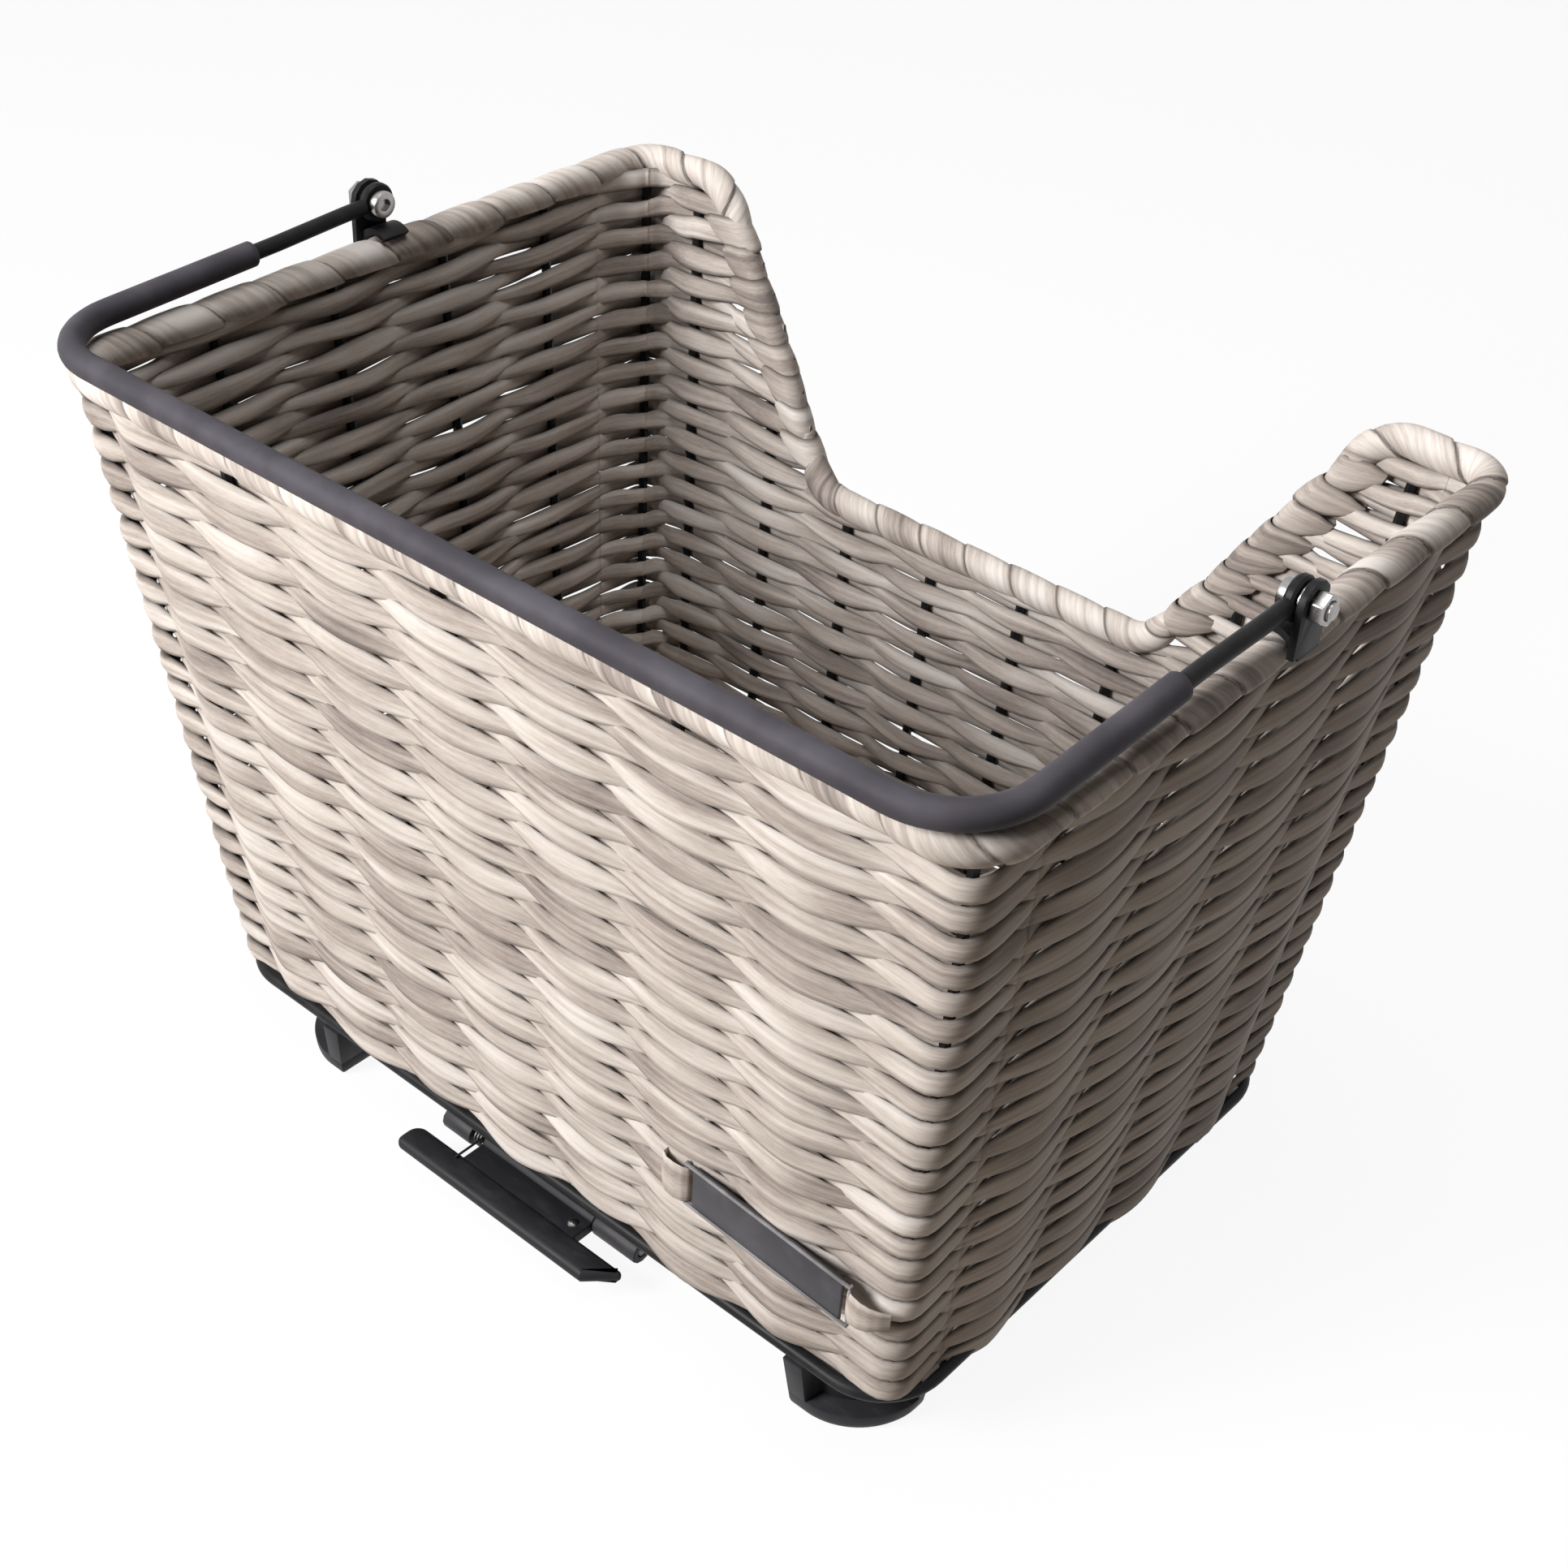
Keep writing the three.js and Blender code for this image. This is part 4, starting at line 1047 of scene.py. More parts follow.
@dataclass
class BasketForm:
    """The woven body's outline, on the centrelines of its wires."""

    middle: float
    base: float
    rim_length: float = 400 * MM
    rim_depth: float = 288 * MM
    rim_corner: float = 16 * MM
    base_length: float = 349 * MM
    base_depth: float = 237 * MM
    base_corner: float = 25 * MM
    base_forward: float = 6.2 * MM
    rise: float = 262.4 * MM
    dip_floor: float = 164 * MM
    dip_mouth: float = 310 * MM
    dip_drop: float = 112.6 * MM
    dip_bend: float = 20 * MM
    front_pitch: float = 51.6 * MM
    front_fan: float = 0.83
    front_shift: float = 5.6 * MM
    front_stakes: int = 7
    side_gaps: int = 5
    back_pitch: float = 48.5 * MM
    back_stakes: int = 8
    corner_turn: float = 5.5 * MM
    floor_pitch: float = 48 * MM
    floor_wires: int = 6

    @property
    def rim(self) -> float:
        """Height of the rim wire."""
        return self.base + self.rise

    @property
    def dip_share(self) -> float:
        """Height of the dip's floor, as a share of the wall."""
        return 1 - self.dip_drop / self.rise

    def halves(self, share: float) -> Array:
        """Half length and half depth at a share of the wall's height."""
        low, high = np.array(((self.base_length, self.base_depth), (self.rim_length, self.rim_depth))) / 2
        return low + (high - low) * share

    def centre(self, share: float) -> Array:
        """Middle of the section at a share of the wall's height."""
        return np.array((0.0, self.middle - self.base_forward * (1 - share)))

    def corner(self, share: float) -> float:
        """Radius of the corners at a share of the wall's height."""
        return self.base_corner + (self.rim_corner - self.base_corner) * share

    def height(self, share: float) -> float:
        """Height above the ground at a share of the wall's height."""
        return self.base + self.rise * share

    def stakes(self, wall: Wall, share: float) -> Array:
        """Places of a wall's stakes, counted from its middle along the strand's run.

        Args:
            wall: The wall.
            share: Share of the wall's height.

        Returns:
            The places, in rising order, without the corner stakes.
        """
        inset = self.rim_corner * (1 - DIAGONAL)
        half = self.halves(1.0) - inset
        if wall is Wall.FRONT:
            rim = half[0] - self.front_pitch * np.arange(self.front_stakes, 0, -1)
            return rim * share + (rim * self.front_fan + self.front_shift) * (1 - share)
        if wall is Wall.BACK:
            rim = self.back_pitch * (np.arange(self.back_stakes) - (self.back_stakes - 1) / 2)
            return rim * (share + self.base_length / self.rim_length * (1 - share))
        rim = half[1] * (2 * np.arange(1, self.side_gaps) / self.side_gaps - 1)
        return rim * (share + self.base_depth / self.rim_depth * (1 - share))

    def track(self, wall: Wall, share: float, per_gap: int) -> tuple[Array, Array]:
        """A wall's level line from one corner stake to the next.

        Args:
            wall: The wall.
            share: Share of the wall's height.
            per_gap: Steps from one stake to the next.

        Returns:
            The line's points, and the direction out of the wall at each.
        """
        level = wall in (Wall.FRONT, Wall.BACK)
        half, out = self.halves(share) if level else self.halves(share)[::-1]
        inset = self.corner(share) * (1 - DIAGONAL)
        spoke = self.corner_turn * DIAGONAL
        bend = np.radians(np.linspace(135, 93, 22))
        across = -half + inset + spoke + self.corner_turn * np.cos(bend)
        first = np.stack([across, out - inset - spoke + self.corner_turn * np.sin(bend)], 1)
        last = (first * (-1, 1))[::-1]
        places = self.stakes(wall, share)
        knots = [np.array([[c, out]]) for c in places]
        runs = [np.concatenate([first, knots[0]])]
        runs += [np.concatenate(pair) for pair in zip(knots[:-1], knots[1:])]
        runs.append(np.concatenate([knots[-1], last]))
        even = [evenly(run, per_gap) for run in runs]
        flat = np.concatenate([run[:-1] for run in even] + [even[-1][-1:]])
        ahead = unit(np.gradient(flat, axis=0))
        ahead[0] = (DIAGONAL, DIAGONAL)
        ahead[-1] = (DIAGONAL, -DIAGONAL)
        square = np.stack([-ahead[:, 1], ahead[:, 0]], 1)
        axes = np.stack([wall.along, wall.out])
        points = self.centre(share) + flat @ axes
        heights = np.full((len(flat), 1), self.height(share))
        return np.hstack([points, heights]), np.hstack([square @ axes, np.zeros((len(flat), 1))])

    def floor_places(self) -> Array:
        """Places of the floor wires, counted from the middle."""
        return self.floor_pitch * (np.arange(self.floor_wires) - (self.floor_wires - 1) / 2)

    def dip_reach(self, share: float) -> float:
        """Half width of the dip at a share of the wall's height."""
        along = (share - self.dip_share) / (1 - self.dip_share)
        return (self.dip_floor + (self.dip_mouth - self.dip_floor) * along) / 2

    def dip_place(self, share: float) -> float:
        """The same half width, in gaps between stakes from the back right corner stake."""
        places = self.stakes(Wall.BACK, share)
        return float(np.interp(-self.dip_reach(share), places, np.arange(1, len(places) + 1)))

    def back_point(self, x: float, share: float) -> Vector:
        """Point on the back wall's middle."""
        y = self.centre(share)[1] + self.halves(share)[1]
        return Vector((x, y, self.height(share)))


@dataclass
class Weave:
    """The woven walls and floor: one strand that winds up over an odd number of stakes."""

    form: BasketForm
    material: Finish
    first_row: float = 33.4 * MM
    row_pitch: float = 5.74 * MM
    rows: int = 44
    tape_width: float = 12.0 * MM
    inner_width: float = 8.8 * MM
    neck_width: float = 6.2 * MM
    tape_thickness: float = 2.1 * MM
    corner_cut: float = 1.4 * MM
    bend_reach: float = 0.34
    bend_share: float = 0.22
    depth: float = 2.9 * MM
    per_gap: int = 48
    steps_per_gap: int = 20
    edge_shade: float = 0.45
    pinch: float = 0.8
    ear_width: float = 13.0 * MM
    left_ear: Pair = (10.0 * MM, 7.2 * MM)
    right_ear: Pair = (7.6 * MM, 6.4 * MM)
    ear_shade: float = 0.95
    drift: float = 0.85
    swell: float = 0.7
    twist: float = 0.6
    sides: int = 12
    full_back_rows: int = 25
    floor_rows: int = 39
    floor_steps: int = 14
    floor_seed: float = 70.0
    floor_depth: float = 2.0 * MM
    floor_inset: Pair = (0.0, 3.0 * MM)
    run_on: float = 0.5
    line_spare: float = 0.6
    tuck_reach: float = 0.05
    tuck_share: float = 0.35
    drift_noise: Pair = (0.8, 0.0)
    swell_noise: Pair = (0.9, 9.0)
    twist_noise: Pair = (0.7, 23.0)
    loose_reach: float = 0.8
    loose_thickness: float = 0.7
    bulge_power: float = 0.9
    crown_power: float = 0.65
    fold_thickness: float = 0.5
    strand_lean: float = 0.05
    edge_band: Pair = (0.66, 1.0)
    looks: dict[Wall, dict[str, float]] = field(default_factory=lambda: {
        Wall.FRONT: {"Neck": 6.6 * MM},
        Wall.RIGHT: {"Edge Shade": 0.75},
        Wall.BACK: {"Bend Share": 0.0, "Cut Across": 4.6 * MM, "Bend Reach": 0.5, "Inner Share": 0.8,
                    "Inner Width": 9.4 * MM, "Edge Shade": 0.7},
        Wall.LEFT: {"Inner Width": 9.0 * MM, "Edge Shade": 1.0, "Unevenness": 0.75},
    })
    recipe: Recipe = field(init=False)

    def __post_init__(self) -> None:
        """Builds the recipe."""
        self.recipe = self.weave_recipe()

    def weave_recipe(self) -> Recipe:
        """Recipe that lays rows of tape over and under stakes, between two guide lines.

        Returns:
            The recipe. Its guide holds the lower line's points and then the upper line's.
        """
        samples = self.values(0, 0.0, 0, {})
        r = Recipe("weave", {label: Socket.of(sample) for label, sample in samples.items()})
        # One straight tube for each row.
        spots = r.add("GeometryNodeMeshLine", None, {"Count": r["Rows"], "Offset": (0.0, 0.0, 0.0)})
        spots = r.store(spots, "row", r.index() + r["First"])
        rows = r.add("GeometryNodeInstanceOnPoints", None,
                     {"Points": spots, "Instance": r.blank_tube(r["Sides"], r["Steps"])})
        rows = r.add("GeometryNodeRealizeInstances", None, {"Geometry": rows})

        # Each row's height, and where it starts and ends, in gaps between stakes.
        row = r.attribute("row")
        level = r["Height"] + row * r["Row Rise"]
        edge = level.call("MINIMUM", 1.0 - level) * r["Span"]
        lack = (r["Corner"] - edge).call("MAXIMUM", 0.0)
        inset = r["Corner"] - (r["Corner"] ** 2 - lack * lack).call("MAXIMUM", 0.0) ** 0.5
        drawn = inset / r["Gap"]
        start = r["Start"] + r["Start Rate"] * level + drawn
        end = r["End"] + r["End Rate"] * level - drawn
        spot = r.spot()
        share = r.part(spot, 2) + 0.5
        gap = start + (end - start) * share

        # How the strand swings in and out, strays, swells, twists and folds round the corner.
        strand = gap + r["Before"] + row * r["Whole"]
        drift, swell, tilt = (r.wander(r.combine(strand * rate, r["Seed"], lane))
                              for rate, lane in (self.drift_noise, self.swell_noise, self.twist_noise))
        ends_off = (end - gap).call("MINIMUM", gap - start)
        loose = r.between(ends_off, 0.0, self.loose_reach) * r["Unevenness"] + 1.0
        wave = (strand * math.pi).call("COSINE")
        outer = wave.call("MAXIMUM", 0.0) ** self.bulge_power * (r["Width"] - r["Neck"])
        inner = (0.0 - wave).call("MAXIMUM", 0.0) ** self.bulge_power
        inner = inner * (r["Inner Width"] - r["Neck"])
        bend_off = (gap - r["Bend At"]).call("ABSOLUTE") / r["Bend Reach"]
        near = r.between(bend_off, 1.0, 0.0)
        folded = near * near * (3.0 - near * 2.0)
        inner = inner * (1.0 - folded * r["Inner Share"])
        width = (r["Neck"] + outer + inner) * (1.0 - folded * r["Bend Share"])
        slim = 1.0 - r.between(gap - r["Tuck At"], 0.0, self.tuck_reach) * self.tuck_share
        across = r.part(spot, 0) * width * (swell * loose * r["Swell"] + 1.0) * 0.5 * slim
        sine = r.part(spot, 1)
        thick = r["Thickness"] * (folded * self.fold_thickness + 1.0) * slim
        thick = thick * (loose * self.loose_thickness + (1.0 - self.loose_thickness))
        crown = sine.call("SIGN") * sine.call("ABSOLUTE") ** self.crown_power * thick * 0.5
        inside = (0.0 - wave).call("MAXIMUM", 0.0) * folded * r["Cut Across"]
        lean = tilt * loose * r["Twist"] - self.strand_lean
        out = wave * r["Depth"] + crown + across * lean
        near_end = r.between(end - gap, 1.0, 0.0) * r["Pinch End"]
        near_start = r.between(gap - start, 1.0, 0.0) * r["Pinch Start"]
        pair = 0.5 - row.call("MODULO", 2.0)
        drawn_in = pair * (near_end + near_start) * r["Row Rise"]
        strayed = drift * loose * r["Row Rise"] * r["Drift"]
        height = level + r["Climb"] * gap + strayed + drawn_in

        # Where that lies between the wall's lower and upper line.
        place = gap * r["Per Gap"]
        far = r["Line Points"]
        here = r.spot()
        low = r.follow(here, place)
        high = r.follow(here, place, far)
        facing = r.attribute("out", VECTOR)
        low_out = r.follow(facing, place)
        high_out = r.follow(facing, place, far)
        square = (low_out + (high_out - low_out) * height).call("NORMALIZE")
        up = (high - low).call("NORMALIZE")
        corner_out = r.follow(facing, r["Bend At"].call("MAXIMUM", 0.0) * r["Per Gap"])
        point = low + (high - low) * height + square * out + up * across - corner_out * inside

        # Place along and across the tape for the finish, and painted shade that darkens the tape towards its
        # edges, where strands shade each other.
        tape = r.combine(strand * r["Gap"], across, r["Seed"])
        rows = r.store(rows, "tape", tape, VECTOR)
        edge_shade = r.between(r.part(spot, 0).call("ABSOLUTE"), *self.edge_band)
        rows = r.store(rows, "seam", edge_shade * r["Edge Shade"])
        r.end(r.moved(rows, point))
        return r

    def values(self, line_points: int, steps: float, rows: int, own: dict[str, float]) -> dict[str, Any]:
        """The recipe's inputs.

        Args:
            line_points: Points in each of the guide's two lines.
            steps: Steps along a row.
            rows: How many rows.
            own: Inputs that differ from what most panels share.

        Returns:
            Every input.
        """
        shared = {
            "Line Points": line_points, "Per Gap": self.per_gap, "Steps": math.ceil(steps), "Rows": rows,
            "Sides": self.sides, "First": 0, "Height": 0.0, "Row Rise": 0.0, "Climb": 0.0, "Before": 0.0,
            "Whole": 1.0, "Start": 0.0, "Start Rate": 0.0, "End": 0.0, "End Rate": 0.0, "Corner": 0.0,
            "Span": 1.0, "Seed": 0.0, "Gap": self.form.front_pitch, "Depth": self.depth,
            "Width": self.tape_width, "Inner Width": self.inner_width, "Neck": self.neck_width,
            "Thickness": self.tape_thickness, "Pinch Start": 0.0, "Pinch End": 0.0, "Bend At": NO_BEND,
            "Bend Reach": self.bend_reach, "Bend Share": self.bend_share, "Cut Across": self.corner_cut,
            "Edge Shade": self.edge_shade, "Tuck At": NO_TUCK, "Inner Share": 0.0, "Drift": self.drift,
            "Swell": self.swell, "Twist": self.twist, "Unevenness": 0.0,
        }
        return {**shared, **own, "Finish": self.material}

    def wall_values(self, wall: Wall) -> dict[str, float]:
        """The inputs that all rows of one wall share.

        Args:
            wall: The wall.

        Returns:
            The inputs.
        """
        gaps = self.gap_count(wall)
        before = self.gaps_before(wall)
        whole = sum(self.gap_count(w) for w in Wall)
        row_rise = self.row_pitch / self.form.rise
        climb = row_rise / whole
        end = gaps + self.run_on
        return {"Row Rise": row_rise, "Climb": climb, "Before": float(before), "Whole": float(whole),
                "Start": self.run_on, "End": end + self.tuck_reach, "Tuck At": end, "Bend At": float(gaps),
                "Height": (self.first_row - self.form.base) / self.form.rise + climb * before,
                **self.looks[wall]}

    def panel(self, name: str, wall: Wall, rows: range, gaps: float,
              own: dict[str, float] | None = None) -> Piece:
        """Some rows of a wall.

        Args:
            name: The panel's name.
            wall: The wall.
            rows: Numbers of the rows.
            gaps: Gaps between stakes that the longest row passes.
            own: Inputs in which the panel differs from its wall.

        Returns:
            The panel.
        """
        low, low_out = self.line(wall, 0.0)
        high, high_out = self.line(wall, 1.0)
        guide = guide_mesh(np.vstack([low, high]), {"out": np.vstack([low_out, high_out])})
        inputs = {**self.wall_values(wall), **(own or {}), "First": rows.start}
        values = self.values(len(low), gaps * self.steps_per_gap, len(rows), inputs)
        return self.recipe.make(name, guide, values)

    def wall(self, wall: Wall) -> Piece:
        """One woven wall, with its ears where the back dips.

        Args:
            wall: The wall.

        Returns:
            The wall, in one piece.
        """
        name = f"weave_{wall.name.lower()}_tape"
        gaps = self.gap_count(wall)
        if wall is not Wall.BACK:
            return self.panel(name, wall, range(0 if wall is Wall.FRONT else -1, self.rows), gaps)
        bottom = self.form.dip_place(self.form.dip_share)
        rate = (self.form.dip_place(1.0) - bottom) / (1 - self.form.dip_share)
        foot = bottom - rate * self.form.dip_share
        right = {"End": foot, "End Rate": rate, "Pinch End": self.pinch, "Bend At": NO_BEND,
                 "Tuck At": NO_TUCK}
        left = {"Start": gaps - foot, "Start Rate": -rate, "Pinch Start": self.pinch}
        ears = []
        for label, run, ends, (inner, neck) in (("ear_right", bottom, right, self.right_ear),
                                                ("ear_left", bottom + 1, left, self.left_ear)):
            looks = {"Width": self.ear_width, "Inner Width": inner, "Neck": neck,
                     "Edge Shade": self.ear_shade}
            rows = range(self.full_back_rows, self.rows)
            ears.append(self.panel(label, wall, rows, run, {**ends, **looks}))
        full = self.panel(name, wall, range(-1, self.full_back_rows), gaps)
        return joined(name, [full, *ears])

    def line(self, wall: Wall, share: float) -> tuple[Array, Array]:
        """A wall's level line, carried on round the corner half way to the next wall's first stake.

        Args:
            wall: The wall.
            share: Share of the wall's height.

        Returns:
            The line's points, and the direction out of the wall at each.
        """
        order = list(Wall)
        following = order[(order.index(wall) + 1) % len(order)]
        own = self.form.track(wall, share, self.per_gap)
        more = self.form.track(following, share, self.per_gap)
        spare = round(self.per_gap * self.line_spare)
        points, outs = (np.vstack([a, b[1:spare + 1]]) for a, b in zip(own, more))
        return points, outs

    def gap_count(self, wall: Wall) -> int:
        """Gaps between stakes on a wall."""
        return len(self.form.stakes(wall, 1.0)) + 1

    def gaps_before(self, wall: Wall) -> int:
        """Gaps between stakes that the strand passes before it comes to a wall."""
        order = list(Wall)
        return sum(self.gap_count(w) for w in order[:order.index(wall)])

    def floor(self) -> Piece:
        """Woven floor, its strands across the floor wires.

        Returns:
            The floor.
        """
        half = self.form.halves(0.0) - np.array(self.floor_inset)
        knots = np.concatenate([[-half[0]], self.form.floor_places(), [half[0]]])
        lines = [np.linspace(a, b, self.per_gap + 1)[:-1] for a, b in zip(knots[:-1], knots[1:])]
        x = np.concatenate([*lines, knots[-1:]])
        middle = self.form.centre(0.0)[1]
        level = np.full_like(x, self.form.base)
        edge = [np.stack([x, np.full_like(x, middle + s * half[1]), level], 1) for s in (-1, 1)]
        up = np.tile((0.0, 0.0, 1.0), (2 * len(x), 1))
        gaps = len(knots) - 1
        rise = 1 / self.floor_rows
        own = {"Height": rise / 2, "Row Rise": rise, "End": float(gaps), "Whole": float(gaps),
               "Corner": self.form.base_corner, "Span": 2 * half[1], "Depth": self.floor_depth,
               "Gap": self.form.floor_pitch, "Seed": self.floor_seed}
        values = self.values(len(x), gaps * self.floor_steps, self.floor_rows, own)
        return self.recipe.make("floor_weave_tape", guide_mesh(np.vstack(edge), {"out": up}), values)

    def build(self) -> None:
        """Makes the four walls and the floor."""
        for wall in Wall:
            piece = self.wall(wall)
            settle(piece, "basket", "tape", f"weave_{wall.name.lower()}")
        settle(self.floor(), "basket", "tape", "floor_weave")


@dataclass
class RimWork:
    """What covers the rim wire: wound tape, and the folds in which the rows turn back on the slopes."""

    form: BasketForm
    material: Finish
    radius: float = 6.3 * MM
    wrap: float = 27.5 * MM
    dip_wrap: float = 23.0 * MM
    lip: float = 1.7 * MM
    dip_lip: float = 1.2 * MM
    tuck: float = 22 * MM
    sides: int = 28
    step: float = 0.8 * MM
    fold_pitch: float = 11.48 * MM
    fold_width: float = 12.8 * MM
    fold_round: float = 5.0 * MM
    fold_reach: float = 15 * MM
    fold_tail: float = 0.4
    fold_lean: float = 0.92
    fold_from: float = 0.1
    fold_to: float = 0.86
    fold_thickness: float = 1.7 * MM
    fold_line: Line = ((1.0, 0.6 * MM), (0.8, 2.6 * MM), (0.55, 4.0 * MM), (0.3, 4.8 * MM))
    fold_sides: int = 8
    fold_full: float = 1.6
    fold_edge: float = 0.7
    fold_sizes: tuple[Triple, Triple] = ((0.9, 0.96, 0.96), (1.12, 1.05, 1.12))
    fold_turns: tuple[Triple, Triple] = ((-0.04, -0.16, -0.06), (0.04, 0.16, 0.06))
    fold_seed: int = 5
    turn_seed: float = 7.0
    rim_seed: float = 3.0
    dip_seed: float = 40.0
    top_overlap: float = 0.24
    foot_overlap: float = 0.2
    turn_rate: float = 3.7
    dent_rates: Pair = (90.0, 3.0)
    belly_power: float = 0.4
    lap_share: float = 0.5
    lap_middle: float = 0.75
    loose_share: float = 0.4
    dent_share: float = 0.3
    end_taper: float = 0.42
    girth: float = 43 * MM
    seam_shade_band: Pair = (1.3 * MM, 0.1 * MM)

    def wound_recipe(self) -> Recipe:
        """Recipe that winds tape in a helix round a path, each turn lapping the last, with shade painted
        along the seams.

        Returns:
            The recipe. Its guide holds the path's points, with their sides, lifts and lengths run.
        """
        numbers = ("Radius", "Wrap", "Lip", "Seed", "Length", "Tuck")
        r = Recipe("wound_tape", {**dict.fromkeys(numbers, Socket.NUMBER),
                                  **dict.fromkeys(("Steps", "Sides"), Socket.COUNT)})
        tube = r.blank_tube(r["Sides"], r["Steps"])
        spot = r.spot()
        place = (r.part(spot, 2) + 0.5) * r["Steps"]
        cosine = r.part(spot, 0)
        sine = r.part(spot, 1)
        around = cosine.call("ARCTAN2", sine) / (2 * math.pi)
        run = r.part(r.follow(r.attribute("run", VECTOR), place), 0)
        turn = run / r["Wrap"] - around
        number = turn.call("FLOOR")
        lap = turn - number
        loose = r.wander(r.combine(number * self.turn_rate, r["Seed"], 0.0))
        dent_along, dent_around = self.dent_rates
        dents = r.wander(r.combine(run * dent_along, around * dent_around, r["Seed"]), 2.0)
        belly = (lap * math.pi).call("SINE") ** self.belly_power
        raised = lap * self.lap_share + belly * (1.0 - self.lap_share) - self.lap_middle
        raised = raised + loose * self.loose_share + dents * self.dent_share
        near_end = run.call("MINIMUM", r["Length"] - run) / r["Tuck"]
        drawn_in = 1.0 - r.between(near_end, 1.0, 0.0) * self.end_taper
        radius = (r["Radius"] + r["Lip"] * raised) * drawn_in
        # Distance to the nearest lap seam, which sets the painted shade along the seams.
        seam = lap.call("MINIMUM", 1.0 - lap) * r["Wrap"]
        side = r.follow(r.attribute("side", VECTOR), place)
        lift = r.follow(r.attribute("lift", VECTOR), place)
        point = r.follow(r.spot(), place) + (side * cosine + lift * sine) * radius
        tape = r.combine(around * self.girth, lap * r["Wrap"], number + r["Seed"])
        tube = r.store(tube, "tape", tape, VECTOR)
        # Painted shade in a narrow band along each lap seam, where the turn above shades the one below.
        tube = r.store(tube, "seam", r.between(seam, *self.seam_shade_band))
        r.end(r.moved(tube, point))
        return r

    def wound(self, recipe: Recipe, name: str, path: Array, wrap: float, lip: float, seed: float) -> Piece:
        """Tape wound along a path.

        Args:
            recipe: The winding recipe.
            name: The piece's name.
            path: The path.
            wrap: Length of the path that one turn takes.
            lip: How far a turn's edge stands proud of the last.
            seed: Choice of its unevenness.

        Returns:
            The wound tape.
        """
        length = float(run_lengths(path)[-1])
        steps = round(length / self.step)
        points = evenly(path, steps)
        side, lift = frames_along(points, False)
        run = np.zeros((len(points), 3))
        run[:, 0] = np.linspace(0.0, length, len(points))
        guide = guide_mesh(points, {"side": side, "lift": lift, "run": run})
        return recipe.make(name, guide, {"Radius": self.radius, "Wrap": wrap, "Lip": lip, "Seed": seed,
                                         "Length": length, "Tuck": self.tuck, "Steps": steps,
                                         "Sides": self.sides, "Finish": self.material})

    def paths(self) -> tuple[Array, Array, list[Array]]:
        """Paths of the rim wire.

        Returns:
            The rim's round from one top of the dip to the other, the dip's floor, and its two slopes.
        """
        f = self.form
        half = f.halves(1.0)
        corners = [Vector((sx * half[0], f.middle + sy * half[1], f.rim))
                   for sx, sy in ((1, 1), (1, -1), (-1, -1), (-1, 1))]
        tops = [f.back_point(s * f.dip_mouth / 2, 1.0) for s in (1, -1)]
        feet = [f.back_point(s * f.dip_floor / 2, f.dip_share) for s in (1, -1)]
        bends = [(tops[0], f.dip_bend), *((c, f.rim_corner) for c in corners), (tops[1], f.dip_bend)]
        inside = [(t + (d - t) * self.top_overlap, 0.0) for t, d in zip(tops, feet)]
        round_rim = rounded([inside[0], *bends, inside[1]], False)
        above = [(d + (t - d) * self.foot_overlap, 0.0) for t, d in zip(tops, feet)]
        floor = rounded([above[0], *((d, f.dip_bend) for d in feet), above[1]], False)
        slopes = [np.array([tuple(d), tuple(t)]) for t, d in zip(tops, feet)]
        return round_rim, floor, slopes

    def fold(self, side: int) -> Piece:
        """One fold of tape round a slope's wire, about its own origin.

        Args:
            side: 1 for the right slope and -1 for the left.

        Returns:
            The fold, open towards the middle of the ear.
        """
        bend = np.radians(np.linspace(90, 270, 11))
        nose = np.stack([np.cos(bend), np.sin(bend)], 1) * self.fold_round
        tail = np.array(self.fold_line) * (self.fold_reach, 1.0)
        path = np.concatenate([tail, nose, (tail * (1, -1))[::-1]])
        lean = (self.form.dip_mouth - self.form.dip_floor) / 2 / self.form.dip_drop * self.fold_lean
        reach = np.linalg.norm(path, axis=1)
        narrow = (self.fold_round * self.fold_full, self.fold_reach)
        half = self.fold_width / 2
        halves = np.interp(reach, narrow, (1.0, self.fold_tail)) * half
        rings = strip_rings(path, halves, self.fold_thickness, self.fold_sides)
        along, out, across = np.moveaxis(rings, 2, 0)
        piece = lofted("fold", np.stack([side * (along + lean * across), out, across], 2), self.material)
        mark_tape(piece, rings, 2 * self.fold_reach + 4 * self.fold_round, half, 0.0)
        # Painted shade that darkens the fold towards its edges.
        shade = np.interp(np.abs(across) / halves[:, None], (self.fold_edge, 1.0), (0.0, 1.0))
        edges = piece.data.attributes.new("seam", "FLOAT", "POINT")
        edges.data.foreach_set("value", shade.astype(np.float32).ravel())
        return piece

    def fold_recipe(self) -> Recipe:
        """Recipe that sets folds at guide points, each a little different.

        Returns:
            The recipe. Its guide holds a point for each fold.
        """
        r = Recipe("edge_folds", {"Fold": Socket.THING, "Seed": Socket.COUNT})
        size = r.draw(*self.fold_sizes, r["Seed"])
        turn = r.draw(*self.fold_turns, r["Seed"] + self.turn_seed)
        spots = r.store(r["Geometry"], "number", r.index())
        folds = r.scatter("Fold", spots, Rotation=turn, Scale=size)
        folds = r.add("GeometryNodeRealizeInstances", None, {"Geometry": folds})
        shift = r.combine(0.0, 0.0, r.attribute("number") + r["Seed"])
        folds = r.store(folds, "tape", r.attribute("tape", VECTOR) + shift, VECTOR)
        r.end(folds)
        return r

